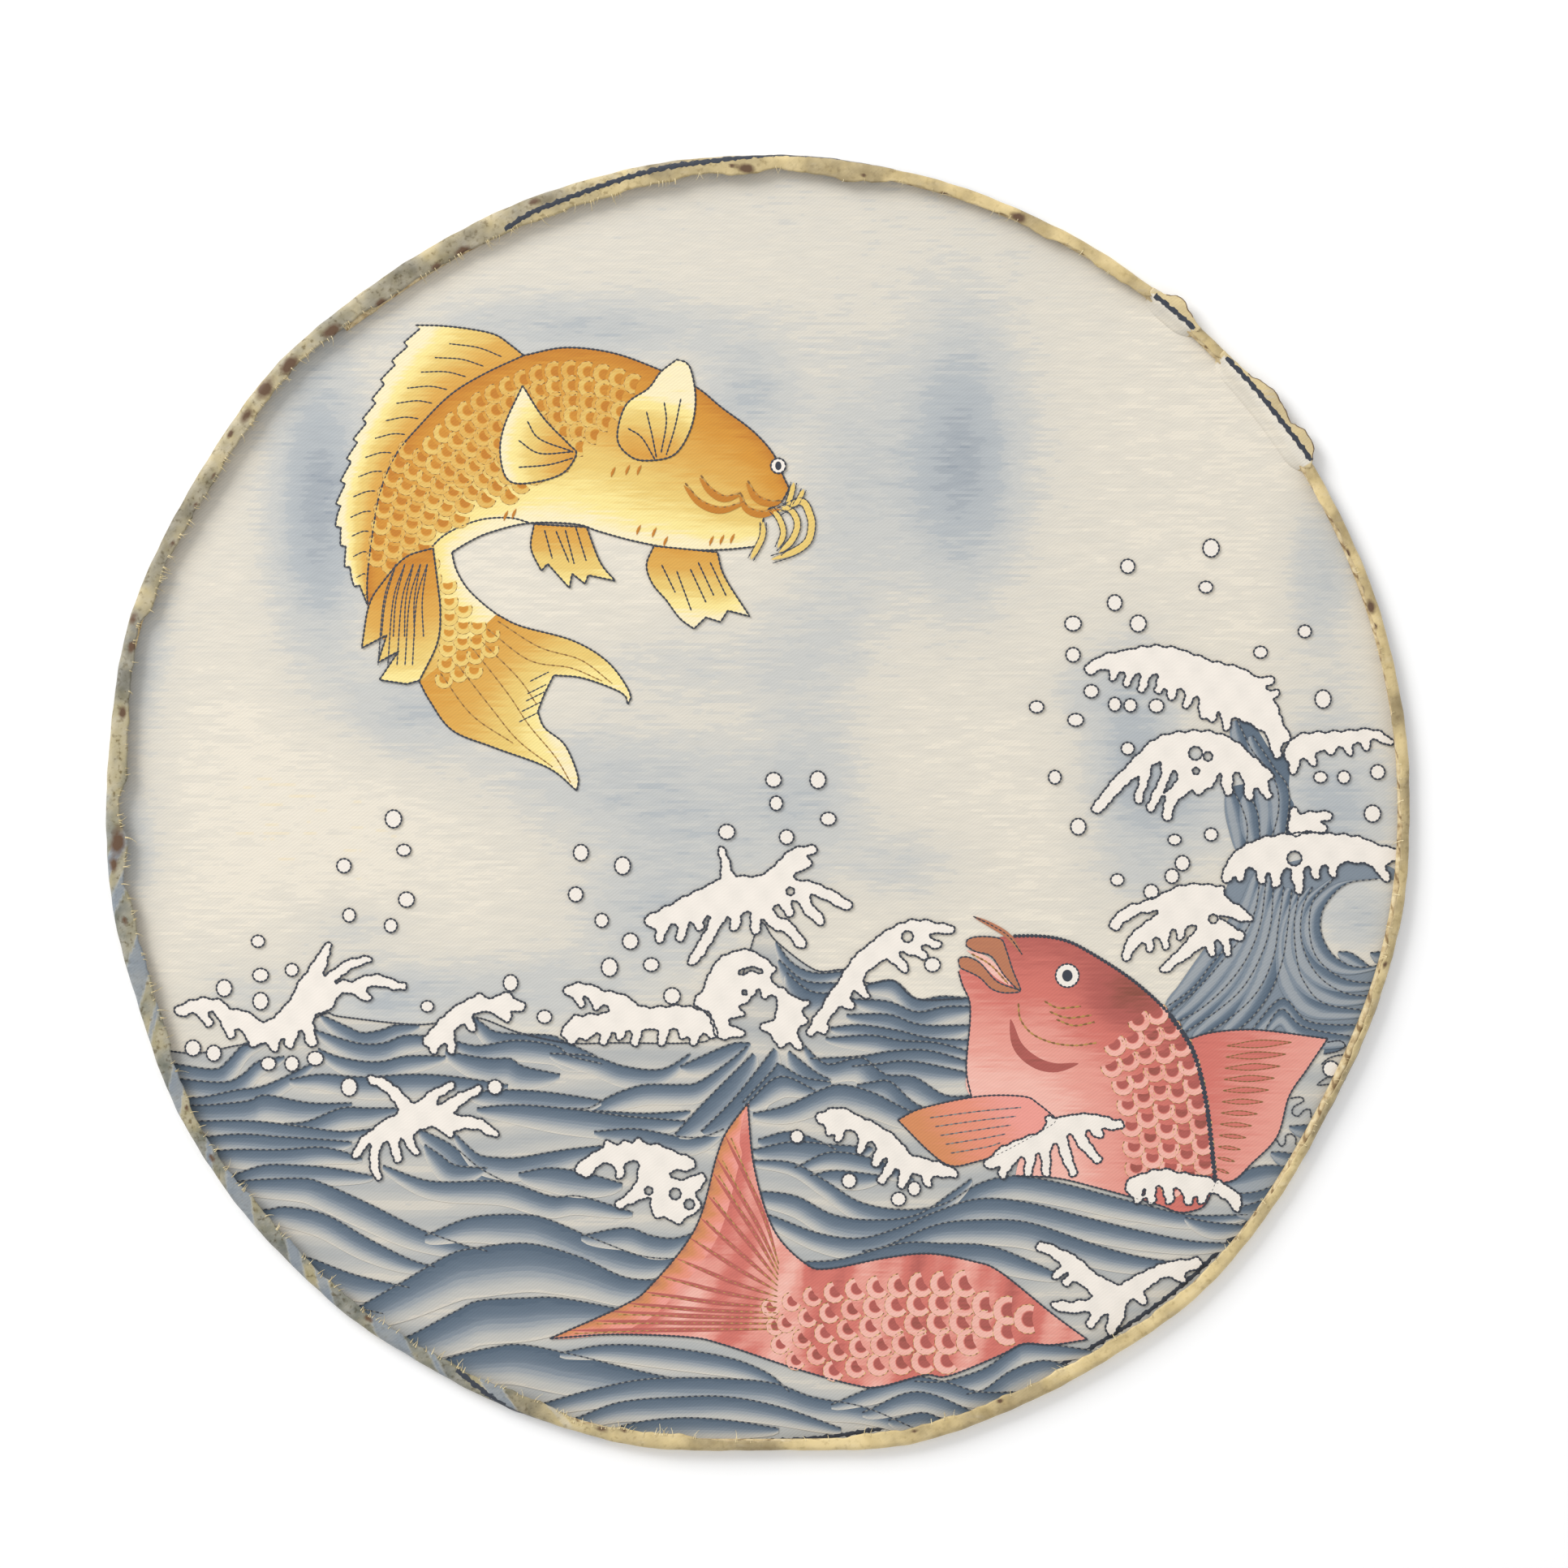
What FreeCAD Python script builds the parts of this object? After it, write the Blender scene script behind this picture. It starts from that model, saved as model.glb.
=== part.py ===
import FreeCAD, Part
import math
import os

# A round panel of picture-woven silk, stretched on a wire hoop.
# The cloth lies at the back of the hoop. Its edge comes up round the outside of the hoop and is turned
# in over the top, so the picture lies in a shallow tray and faces +Z, with its top towards +Y.
# The origin is under the middle of the panel, on the face that it rests on. Units are millimetres.

# Driving dimensions
RIM_RADIUS = 125.0        # mean outer radius of the finished rim
CLOTH_T = 0.35            # thickness of the woven silk
WIRE_D = 1.5              # iron wire of the hoop
PAPER_T = 0.15            # paper strip wound on the wire
THREAD_D = 0.2            # thread of the bindings
GAP = 0.02                # clearance between neighbouring pieces
HEM_WIDTH = 2.5           # plan width of the turned-in hem
TUCK_RADIUS = 1.2         # outer radius of the cloth where it turns over the hoop
LAP_MIDDLE = 122.0        # direction of the middle of the wire's lap, degrees
LAP_HALF = 9.0            # half the lap, degrees
LAP_EASE = 18.0           # stretch over which the inner end steps in, degrees
BINDING_SPREAD = 6.0      # each binding's distance from the middle of the lap, degrees
BINDING_TURNS = 10
STEP = 6.0                # spacing of the bends that shape an outline, degrees

# The hoop was bent by hand: direction in degrees, and how far the rim stands out there in mm
RIM_BENDS = (
    (0, 0.0), (30, -0.4), (75, -0.6), (125, -1.2), (138, -0.2), (150, -0.6), (163, 0.5),
    (177, -0.2), (188, 0.3), (197, 0.0), (211, 1.1), (230, 0.8), (240, 0.3), (258, 0.4),
    (271, -1.0), (284, 1.3), (300, 0.9), (311, 1.6), (333, -0.6), (350, 0.3), (360, 0.0),
)

WOUND_R = WIRE_D / 2 + PAPER_T
LAP_PITCH = 2 * WOUND_R + GAP
CHANNEL_H = 2 * (WOUND_R + THREAD_D) + 2 * GAP
RIM_H = CHANNEL_H + 2 * CLOTH_T
WIRE_Z = RIM_H / 2
LAP_START = LAP_MIDDLE - LAP_HALF


def eased(t):
    """Smooth step from 0 to 1 as t goes from 0 to 1."""
    t = min(max(t, 0.0), 1.0)
    return t * t * (3 - 2 * t)


def rim_radius(angle):
    """Outer radius of the finished rim in a direction."""
    angle = angle % 360
    for (a0, d0), (a1, d1) in zip(RIM_BENDS, RIM_BENDS[1:]):
        if a0 <= angle <= a1:
            return RIM_RADIUS + d0 + (d1 - d0) * eased((angle - a0) / (a1 - a0))
    return RIM_RADIUS


def near_lap(angle):
    """1 over the wire's lap, easing to 0 on each side."""
    away = abs((angle - LAP_MIDDLE + 180) % 360 - 180)
    return 1 - eased((away - LAP_HALF) / LAP_EASE)


def point(angle, radius, z=0.0):
    """Point in a direction, at a radius and a height."""
    a = math.radians(angle)
    return FreeCAD.Vector(radius * math.cos(a), radius * math.sin(a), z)


def rounded_path(points, closed):
    """Wire of straight runs joined by tangent arcs, one at each bend."""
    count = len(points)
    bends = range(count) if closed else range(1, count - 1)
    arcs = []
    for i in bends:
        corner = points[i]
        before = points[i - 1] - corner
        after = points[(i + 1) % count] - corner
        cut = 0.45 * min(before.Length, after.Length)
        start = corner + before * (cut / before.Length)
        end = corner + after * (cut / after.Length)
        turn = math.pi - before.getAngle(after)
        chord_middle = (start + end) * 0.5
        outward = corner - chord_middle
        sagitta = (end - start).Length / 2 * math.tan(turn / 4)
        arcs.append((start, chord_middle + outward * (sagitta / outward.Length), end))
    edges = []
    last = arcs[-1][2] if closed else points[0]
    for start, middle, end in arcs:
        edges.append(Part.LineSegment(last, start).toShape())
        edges.append(Part.Arc(start, middle, end).toShape())
        last = end
    if not closed:
        edges.append(Part.LineSegment(last, points[-1]).toShape())
    return Part.Wire(edges)


def outline(inset, z, extra_at_lap=0.0):
    """Closed outline that runs inside the rim's outer face by the inset."""
    points = []
    for i in range(int(360 / STEP)):
        angle = i * STEP
        radius = rim_radius(angle) - inset - extra_at_lap * near_lap(angle)
        points.append(point(angle, radius, z))
    return rounded_path(points, closed=True)


def slab(inset, z_low, z_high, extra_at_lap=0.0):
    """Everything inside an outline, between two heights."""
    face = Part.Face(outline(inset, z_low, extra_at_lap))
    return face.extrude(FreeCAD.Vector(0, 0, z_high - z_low))


def round_edges(solid, z_values, radius):
    """Fillet the solid's edges that lie flat at the given heights."""
    edges = []
    for edge in solid.Edges:
        box = edge.BoundBox
        if any(abs(box.ZMin - z) < 1e-4 and abs(box.ZMax - z) < 1e-4 for z in z_values):
            edges.append(edge)
    return solid.makeFillet(radius, edges)


def silk_panel():
    """The cloth: a flat face at the bottom, and a hem like a C round the hoop's channel."""
    body = round_edges(slab(0.0, 0.0, RIM_H), (0.0, RIM_H), TUCK_RADIUS)
    channel = slab(CLOTH_T, CLOTH_T, RIM_H - CLOTH_T)
    channel = round_edges(channel, (CLOTH_T, RIM_H - CLOTH_T), TUCK_RADIUS - CLOTH_T)
    recess = slab(HEM_WIDTH, RIM_H / 2, RIM_H + 1.0, extra_at_lap=LAP_PITCH)
    return body.cut(channel).cut(recess)


def wire_point(turn):
    """Point on the wire's centre line, by its travel in degrees from the outer end."""
    angle = LAP_START + turn
    step_in = eased((turn - 360 + LAP_EASE) / LAP_EASE)
    wall = rim_radius(angle) - CLOTH_T - GAP - THREAD_D * near_lap(angle)
    return point(angle, wall - WOUND_R - LAP_PITCH * step_in, WIRE_Z)


def along_wire(radius):
    """Round bar that follows the wire's centre line from end to end."""
    count = int((360 + 2 * LAP_HALF) / STEP)
    path = rounded_path([wire_point(i * STEP) for i in range(count + 1)], closed=False)
    start = path.Edges[0]
    foot = start.valueAt(start.FirstParameter)
    facing = start.tangentAt(start.FirstParameter)
    circle = Part.Circle(foot, facing, radius)
    return path.makePipeShell([Part.Wire(circle.toShape())], True, False)


def racetrack(clearance, length):
    """Upright bar with rounded ends that holds both runs of the wire, with a clearance round them."""
    reach = WOUND_R + clearance
    half = LAP_PITCH / 2
    corners = [FreeCAD.Vector(half, 0, reach), FreeCAD.Vector(-half, 0, reach),
               FreeCAD.Vector(-half, 0, -reach), FreeCAD.Vector(half, 0, -reach)]
    edges = [
        Part.LineSegment(corners[0], corners[1]).toShape(),
        Part.Arc(corners[1], FreeCAD.Vector(-half - reach, 0, 0), corners[2]).toShape(),
        Part.LineSegment(corners[2], corners[3]).toShape(),
        Part.Arc(corners[3], FreeCAD.Vector(half + reach, 0, 0), corners[0]).toShape(),
    ]
    return Part.Face(Part.Wire(edges)).extrude(FreeCAD.Vector(0, length, 0))


def binding(angle):
    """Thread wound round both runs of the wire: touching turns, each with its outer edges rounded."""
    length = BINDING_TURNS * THREAD_D
    turns = []
    for i in range(BINDING_TURNS):
        turn = racetrack(GAP + THREAD_D, THREAD_D)
        turn = turn.makeChamfer(THREAD_D / 4, [e for e in turn.Edges if e.BoundBox.YLength < 1e-6])
        turn.translate(FreeCAD.Vector(0, i * THREAD_D, 0))
        turns.append(turn)
    sleeve = turns[0].fuse(turns[1:]).cut(racetrack(GAP, length))
    sleeve.translate(FreeCAD.Vector(0, -length / 2, 0))
    outer = wire_point(angle - LAP_START)
    inner = wire_point(angle - LAP_START + 360)
    across = outer - inner
    lean = math.degrees(math.atan2(across.y, across.x))
    sleeve.rotate(FreeCAD.Vector(0, 0, 0), FreeCAD.Vector(0, 0, 1), lean)
    sleeve.translate((outer + inner) * 0.5)
    return sleeve


def main():
    """Build every piece and export one file for each."""
    wire = along_wire(WIRE_D / 2)
    pieces = {
        "silk_panel": silk_panel(),
        "hoop_wire": wire,
        "paper_winding": along_wire(WOUND_R).cut(wire),
        "lap_bindings": Part.Compound([
            binding(LAP_MIDDLE - BINDING_SPREAD),
            binding(LAP_MIDDLE + BINDING_SPREAD),
        ]),
    }
    os.makedirs("parts", exist_ok=True)
    for name, shape in pieces.items():
        shape.exportStep(f"parts/{name}.step")


main()
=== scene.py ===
import math
import random

import bpy
import numpy as np
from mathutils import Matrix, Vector
from mathutils.geometry import delaunay_2d_cdt


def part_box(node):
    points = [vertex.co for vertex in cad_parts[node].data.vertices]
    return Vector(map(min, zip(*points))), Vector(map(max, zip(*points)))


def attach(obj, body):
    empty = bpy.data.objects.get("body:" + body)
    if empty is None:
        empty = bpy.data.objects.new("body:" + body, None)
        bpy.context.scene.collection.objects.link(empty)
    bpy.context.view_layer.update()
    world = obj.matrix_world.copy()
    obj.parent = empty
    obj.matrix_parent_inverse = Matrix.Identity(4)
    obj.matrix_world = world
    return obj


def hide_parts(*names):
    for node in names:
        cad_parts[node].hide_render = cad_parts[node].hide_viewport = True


# A round panel of picture-woven silk on a wire hoop: two leaping carp over breaking waves.
# The picture is drawn in millimetres on the plan of the flat cloth, with +Y to its top, and each woven
# area is then laid on the cloth, whose edge folds up and over the hoop. Everything is set in metres.

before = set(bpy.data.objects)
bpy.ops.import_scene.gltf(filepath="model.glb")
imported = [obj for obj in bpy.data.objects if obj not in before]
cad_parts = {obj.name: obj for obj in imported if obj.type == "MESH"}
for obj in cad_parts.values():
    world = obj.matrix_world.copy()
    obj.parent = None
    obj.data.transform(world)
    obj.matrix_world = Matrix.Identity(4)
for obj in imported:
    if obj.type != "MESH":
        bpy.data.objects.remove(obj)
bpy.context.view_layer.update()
rng = random.Random(11)

MM = 0.001
CLOTH_T = 0.35            # thickness of the silk, as in the CAD solid
TUCK = 1.2                # outer radius of the cloth where it turns over the hoop
BACK_ROOM = 0.1           # room under the cloth for the floats on its back
BACK_SHARE = 0.25         # how far those floats stand out, against those on the front
LOW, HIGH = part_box("silk_panel")
RIM_H = (HIGH.z - LOW.z) / MM
RIM_RADIUS = 125.0        # outer radius of the rim before its bends, mm

# Direction in degrees against a value in mm: how far the rim bends out of its circle, how wide the
# turned-in hem is, and the radius of the dark border thread in the flat cloth
RIM_BENDS = (
    (0, 0.0), (30, -0.4), (75, -0.6), (125, -1.2), (138, -0.2), (150, -0.6), (163, 0.5),
    (177, -0.2), (188, 0.3), (197, 0.0), (211, 1.1), (230, 0.8), (240, 0.3), (258, 0.4),
    (271, -1.0), (284, 1.3), (300, 0.9), (311, 1.6), (333, -0.6), (350, 0.3), (360, 0.0),
)
HEM_WIDTHS = (
    (0, 1.8), (8, 2.4), (18, 1.9), (25, 1.8), (28, 2.5), (30.5, 2.3), (33, 0.2), (42, 0.3), (44.5, 2.0),
    (47, 1.9), (49, 0.3), (51, 0.5), (53.5, 2.6), (56, 2.9), (60, 2.2), (63, 2.8), (68, 2.3), (72, 2.5),
    (76, 2.2), (80, 3.4), (82, 4.0), (85, 3.3), (88, 2.7), (91, 3.8), (95, 3.3), (100, 4.0), (106, 4.5),
    (110, 4.6), (117, 4.4), (125, 4.1), (130, 3.5), (137, 3.0), (142, 3.4), (150, 3.4), (157, 3.0),
    (162.5, 3.5), (164, 2.2), (170, 3.1), (177, 3.9), (180, 2.6), (184, 4.1), (187, 3.1), (190, 3.9),
    (202, 3.8), (204, 3.1), (212, 2.6), (220, 3.3), (230, 2.9), (243, 3.0), (250, 3.5), (254, 2.1),
    (258, 2.9), (262, 3.3), (266, 2.3), (270, 1.8), (275, 2.2), (280, 3.2), (290, 3.1), (308, 2.9),
    (315, 2.6), (322, 2.0), (331, 1.3), (337, 1.1), (345, 1.8), (355, 1.6), (360, 1.8),
)
BORDER = (
    (0, 125.3), (30, 124.7), (38, 124.0), (50, 123.4), (70, 124.4), (85, 125.3), (96, 126.6),
    (110, 128.0), (117, 129.9), (140, 134.0), (200, 134.0), (235, 131.0), (252, 125.9), (268, 122.5),
    (288, 122.3), (300, 122.6), (314, 123.4), (335, 125.2), (350, 125.8), (360, 125.3),
)


def by_angle(table, degrees):
    """Value of a direction table, easing from each entry to the next."""
    keys = np.array([row[0] for row in table], float)
    values = np.array([row[1] for row in table], float)
    a = np.mod(degrees, 360.0)
    i = np.clip(np.searchsorted(keys, a, side="right") - 1, 0, len(keys) - 2)
    t = (a - keys[i]) / (keys[i + 1] - keys[i])
    return values[i] + (values[i + 1] - values[i]) * t * t * (3 - 2 * t)


def ripple(x, seed, octaves=((1.0, 1.0), (2.3, 0.5), (5.1, 0.25))):
    """Smooth random-looking number, about -1 to 1, that repeats every 360 degrees."""
    total = np.zeros_like(np.asarray(x, float))
    for scale, size in octaves:
        turns = round(scale * 9)
        total = total + size * np.sin(np.radians(np.asarray(x) * turns) + seed * 1.7 + turns)
    return total / 1.4


# ---- The cloth's form -------------------------------------------------------------------------------

# Lengths in mm along the middle of the cloth's thickness, as it turns up, climbs and turns over
ARC_R = TUCK - CLOTH_T / 2
ARC = ARC_R * math.pi / 2
WALL = RIM_H - 2 * TUCK
TO_TOP = 2 * ARC + WALL   # from the start of the fold to the top of the hoop


def fold_start(degrees):
    """Radius in mm at which the flat cloth starts to turn up round the hoop."""
    return RIM_RADIUS + by_angle(RIM_BENDS, degrees) - TUCK


def hem_reach(degrees):
    """How far past the start of the fold the cut edge lies, along the cloth."""
    jag = 0.18 * ripple(degrees, 4, ((7.0, 1.0), (15.0, 0.8), (31.0, 0.6)))
    return TO_TOP + np.maximum(by_angle(HEM_WIDTHS, degrees) - TUCK, -0.9) + jag


def cloth_form(degrees, flat_r, lift, side):
    """Points in metres for a direction and a radius in the flat cloth.

    The side is 1 for the picture side and -1 for the back.
    """
    start = fold_start(degrees)
    s = np.minimum(flat_r - start, hem_reach(degrees))
    a1 = np.clip(s / ARC_R, 0, math.pi / 2)
    up = np.clip(s - ARC, 0, WALL)
    a2 = np.clip((s - ARC - WALL) / ARC_R, 0, math.pi / 2)
    over = np.maximum(s - TO_TOP, 0)
    turn = a1 + a2
    r = start + np.minimum(s, 0) + ARC_R * np.sin(a1) - ARC_R * (1 - np.cos(a2)) - over
    z = CLOTH_T / 2 + BACK_ROOM + ARC_R * (1 - np.cos(a1)) + up + ARC_R * np.sin(a2)
    risen = np.clip(s / TO_TOP, 0, 1)
    z = z + risen * (0.16 * ripple(degrees, 1) - 0.12 * over * over / 4 - 0.1)
    r = r + risen * (1 - risen) * 0.35 * ripple(degrees, 2, ((3.0, 1.0), (9.0, 0.7), (17.0, 0.5)))
    out = side * (CLOTH_T / 2 + np.asarray(lift))
    r = r - out * np.sin(turn)
    z = z + out * np.cos(turn)
    a = np.radians(degrees)
    return np.stack([r * np.cos(a), r * np.sin(a), z], axis=-1) * MM


def on_cloth(x, y, lift=0.0, side=1):
    """cloth_form for a place in the picture."""
    return cloth_form(np.degrees(np.arctan2(y, x)), np.hypot(x, y), lift, side)


def in_scene(name, data):
    """Object that holds the data, linked into the scene."""
    obj = bpy.data.objects.new(name, data)
    bpy.context.scene.collection.objects.link(obj)
    return obj


def add_object(name, verts, faces, material, **point_values):
    """Mesh object from points in metres, with a float attribute for each named list."""
    mesh = bpy.data.meshes.new(name)
    mesh.from_pydata([tuple(v) for v in verts], [], [tuple(int(i) for i in f) for f in faces])
    for key, values in point_values.items():
        layer = mesh.attributes.new(key, "FLOAT", "POINT")
        layer.data.foreach_set("value", np.asarray(values, np.float32))
    mesh.materials.append(material)
    mesh.shade_smooth()
    obj = in_scene(name, mesh)
    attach(obj, "root")
    return obj


# ---- Materials --------------------------------------------------------------------------------------

def srgb(r, g, b):
    """Linear colour from 0-255 display values."""
    parts = [v / 255 for v in (r, g, b)]
    return tuple(p / 12.92 if p <= 0.04045 else ((p + 0.055) / 1.055) ** 2.4 for p in parts) + (1.0,)


class Nodes:
    """Short way to write a node tree."""

    def __init__(self, name):
        self.material = bpy.data.materials.new(name)
        self.material.use_nodes = True
        self.tree = self.material.node_tree
        self.shader = self.tree.nodes["Principled BSDF"]

    def put(self, socket, value):
        if hasattr(value, "links"):
            self.tree.links.new(value, socket)
        else:
            socket.default_value = value

    def math(self, operation, a, b=0.0, clamp=False):
        node = self.tree.nodes.new("ShaderNodeMath")
        node.operation = operation
        node.use_clamp = clamp
        self.put(node.inputs[0], a)
        self.put(node.inputs[1], b)
        return node.outputs[0]

    def times(self, a, b, clamp=False):
        return self.math("MULTIPLY", a, b, clamp)

    def plus(self, a, b):
        return self.math("ADD", a, b)

    def minus(self, a, b, clamp=False):
        return self.math("SUBTRACT", a, b, clamp)

    def mix(self, factor, a, b, blend="MIX"):
        node = self.tree.nodes.new("ShaderNodeMix")
        node.data_type = "RGBA"
        node.blend_type = blend
        self.put(node.inputs["Factor"], factor)
        self.put(node.inputs["A"], a)
        self.put(node.inputs["B"], b)
        return node.outputs["Result"]

    def ramp(self, factor, stops, interpolation="LINEAR"):
        """Colours from stops of a place and three display values each."""
        node = self.tree.nodes.new("ShaderNodeValToRGB")
        node.color_ramp.interpolation = interpolation
        elements = node.color_ramp.elements
        while len(elements) < len(stops):
            elements.new(0.5)
        for element, (place, *display) in zip(elements, stops):
            element.position = place
            element.color = srgb(*display)
        self.put(node.inputs[0], factor)
        return node.outputs[0]

    def attribute(self, name):
        node = self.tree.nodes.new("ShaderNodeAttribute")
        node.attribute_name = name
        return node.outputs["Fac"]

    def place(self):
        """Object position in mm as x, y and z outputs."""
        coordinates = self.tree.nodes.new("ShaderNodeTexCoord").outputs["Object"]
        apart = self.tree.nodes.new("ShaderNodeSeparateXYZ")
        self.put(apart.inputs[0], coordinates)
        return [self.math("DIVIDE", apart.outputs[i], MM) for i in range(3)]

    def noise(self, x, y, z=0.0, detail=2.0):
        vector = self.tree.nodes.new("ShaderNodeCombineXYZ")
        for i, value in enumerate((x, y, z)):
            self.put(vector.inputs[i], value)
        node = self.tree.nodes.new("ShaderNodeTexNoise")
        self.put(node.inputs["Vector"], vector.outputs[0])
        node.inputs["Scale"].default_value = 1.0
        node.inputs["Detail"].default_value = detail
        return node.outputs["Fac"]

    def bump(self, height, strength, depth):
        """Relief in the shading, its depth in mm."""
        node = self.tree.nodes.new("ShaderNodeBump")
        node.inputs["Strength"].default_value = strength
        node.inputs["Distance"].default_value = depth * MM
        self.put(node.inputs["Height"], height)
        self.put(self.shader.inputs["Normal"], node.outputs[0])


RIB_PITCH = 0.5           # twill rib spacing, mm
RIB_LEAN = math.radians(38)
WEFT = 0.42               # height of one shading step, mm
SOFTNESS = 1.4            # share of even shading to one share of stepped shading


def worn_hem(n, x, y, z, colour):
    """Age, dirt and rust on the turned-in hem, from the age, tone and stain attributes."""
    worn = n.noise(n.times(x, 0.35), n.times(y, 0.35), n.times(z, 0.3), 4.0)
    aged = n.times(n.attribute("age"), n.plus(0.45, n.times(worn, 0.8)), clamp=True)
    patchy = n.noise(n.times(x, 0.11), n.times(y, 0.11), 7.7, detail=5.0)
    cream = n.ramp(patchy, ((0.36, 150, 131, 90), (0.50, 194, 172, 120), (0.64, 224, 201, 146)))
    olive = n.ramp(patchy, ((0.38, 76, 83, 79), (0.50, 106, 107, 92), (0.62, 152, 142, 106)))
    colour = n.mix(aged, colour, n.mix(n.attribute("tone"), olive, cream))
    fibre = n.noise(n.times(x, 1.1), n.times(y, 1.1), n.times(z, 0.6), 5.0)
    dirt = n.ramp(fibre, ((0.30, 176, 166, 142), (0.46, 255, 255, 255), (1.0, 255, 255, 255)))
    soiled = n.times(aged, n.minus(1.35, n.attribute("tone")))
    colour = n.mix(soiled, colour, dirt, "MULTIPLY")
    rust = n.attribute("stain")
    blot = n.plus(rust, n.times(n.minus(worn, 0.5), 0.9))
    blot = n.times(n.minus(blot, 0.35), 2.2, clamp=True)
    blot = n.times(blot, n.times(rust, 3.0, clamp=True))
    return n.mix(blot, colour, srgb(92, 66, 44))


def woven(name, stops, comb=0.18, streak=0.06, rib=0.10, rough=0.62, weft=WEFT, levels=0, stain=False):
    """Woven silk: the shade attribute picks a tone, broken into weft-wise comb teeth, under twill ribs that
    are bumped and also painted lighter on their crests and darker in their grooves.
    """
    n = Nodes(name)
    x, y, z = n.place()
    row = n.math("FLOOR", n.math("DIVIDE", y, weft))
    teeth = n.noise(n.times(x, 0.16), n.times(row, 7.31), 3.3)
    shade = n.plus(n.attribute("shade"), n.times(n.minus(teeth, 0.5), comb * 2))
    if levels:
        exact = n.times(shade, levels)
        stepped = n.plus(n.math("ROUND", exact), n.times(exact, SOFTNESS))
        shade = n.math("DIVIDE", stepped, levels * (1 + SOFTNESS))
    colour = n.ramp(shade, stops, "EASE")
    slub = n.noise(n.times(x, 0.30), n.times(y, 3.2), 9.1, detail=3.0)
    slub = n.plus(1 - streak, n.times(slub, streak * 2))
    # Painted shade on the twill ribs: a sine makes each rib's colour lighter on its crest and darker in its
    # groove, multiplied with the yarn's own slub streaks
    across = n.minus(n.times(y, math.cos(RIB_LEAN)), n.times(x, math.sin(RIB_LEAN)))
    wave = n.math("SINE", n.times(across, 2 * math.pi / RIB_PITCH))
    rib_shade = n.plus(1 - rib / 2, n.times(wave, rib / 2))
    slub_and_rib_shade = n.times(slub, rib_shade)
    grey = n.tree.nodes.new("ShaderNodeCombineColor")
    for i in range(3):
        n.put(grey.inputs[i], slub_and_rib_shade)
    colour = n.mix(1.0, colour, grey.outputs[0], "MULTIPLY")
    if stain:
        colour = worn_hem(n, x, y, z, colour)
    n.put(n.shader.inputs["Base Color"], colour)
    n.shader.inputs["Roughness"].default_value = rough
    n.shader.inputs["Sheen Weight"].default_value = 0.15
    n.shader.inputs["Sheen Roughness"].default_value = 0.4
    n.bump(slub_and_rib_shade, 0.25, 0.05)
    return n.material


SKY = woven("silk_sky", (
    (0.00, 134, 143, 154), (0.30, 172, 177, 180), (0.50, 193, 193, 189),
    (0.70, 213, 207, 194), (0.84, 225, 217, 201), (1.00, 230, 211, 166),
), comb=0.17, streak=0.075, weft=0.55, levels=12, stain=True)

# ---- The cloth --------------------------------------------------------------------------------------

# Blue-grey parts of the sky, one paler patch of negative strength, and two patches of painted shade that
# darken the sky towards its top and left edges: centre x, y, half width, half height in mm, and strength
SKY_BLUES_AND_EDGE_SHADE = (
    (-84, 58, 10, 32, 1.00), (-35, 91, 34, 7, 0.60), (-2, 78, 10, 10, 0.65), (-66, 18, 14, 10, 0.65),
    (-30, 6, 30, 10, 0.45), (-12, -6, 26, 12, 0.50), (-18, -22, 18, 10, 0.55), (-45, -36, 30, 8, 0.50),
    (10, 4, 12, 14, 0.40), (10, 30, 14, 16, 0.30), (-15, 26, 24, 10, 0.30), (18, 62, 12, 26, 0.42),
    (39, 66, 11, 26, 0.72), (41, 66, 22, 34, 0.28), (28, -12, 14, 8, 0.35), (72, 12, 10, 20, 0.75),
    (84, 0, 14, 10, 0.50), (62, 22, 8, 6, 0.25), (74, -14, 12, 8, 0.30), (-78, -24, 12, 6, 0.30),
    (-98, -38, 14, 8, 0.30), (-72, -38, 12, 6, 0.50), (108, 44, 7, 16, 0.55), (110, 4, 14, 20, 0.50),
    (-121, 30, 8, 20, 0.50), (-122, -8, 8, 14, 0.50), (116, -22, 9, 7, 0.60), (112, -2, 14, 8, 0.30),
    # Next line: a paler patch, then two patches of painted shade that darken the face towards its top and
    # left edges
    (-86, 2, 30, 22, -0.12), (0, 122, 100, 30, 0.18), (-120, 60, 30, 60, 0.12),
)
PALE = 0.78               # tone of the open sky
GROUND = 1.0              # the cloth outside the roundel's border
WAVES_FROM = 178          # directions between which the waves' reverse shows on the hem, degrees
WAVES_TO = 254

# Brown spots where the iron has stained the hem: direction, distance along the hem in mm, size in mm
STAINS = (
    (17.8, 4.2, 1.0), (19.5, 4.6, 0.6), (16.0, 4.4, 0.5), (23, 4.6, 0.6), (66, 4.3, 1.0), (73, 5.0, 0.6),
    (80.5, 5.0, 0.4), (91, 5.2, 1.1), (92.3, 4.6, 0.5), (110.5, 3.6, 0.7), (118, 6.4, 1.1), (121, 6.5, 0.7),
    (127, 6.4, 0.9), (132, 5.2, 1.3), (137, 4.4, 1.5), (140, 4.0, 1.7), (143, 4.4, 1.2), (145, 3.8, 0.6),
    (156, 4.8, 0.6), (163.5, 3.4, 0.9), (166, 4.4, 0.8), (172, 4.7, 0.9), (183.5, 5.0, 1.8),
    (185.5, 4.0, 1.0), (190.5, 4.5, 0.7), (208, 4.6, 0.5), (213, 4.0, 0.6), (233, 4.6, 0.7),
    (256, 4.6, 0.8), (258, 5.2, 0.6), (284, 5.0, 0.5), (292, 5.2, 0.5), (345.5, 3.8, 0.5), (25.2, 4.6, 0.4),
    (152, 5.2, 0.5), (149, 5.3, 0.4),
)

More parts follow.
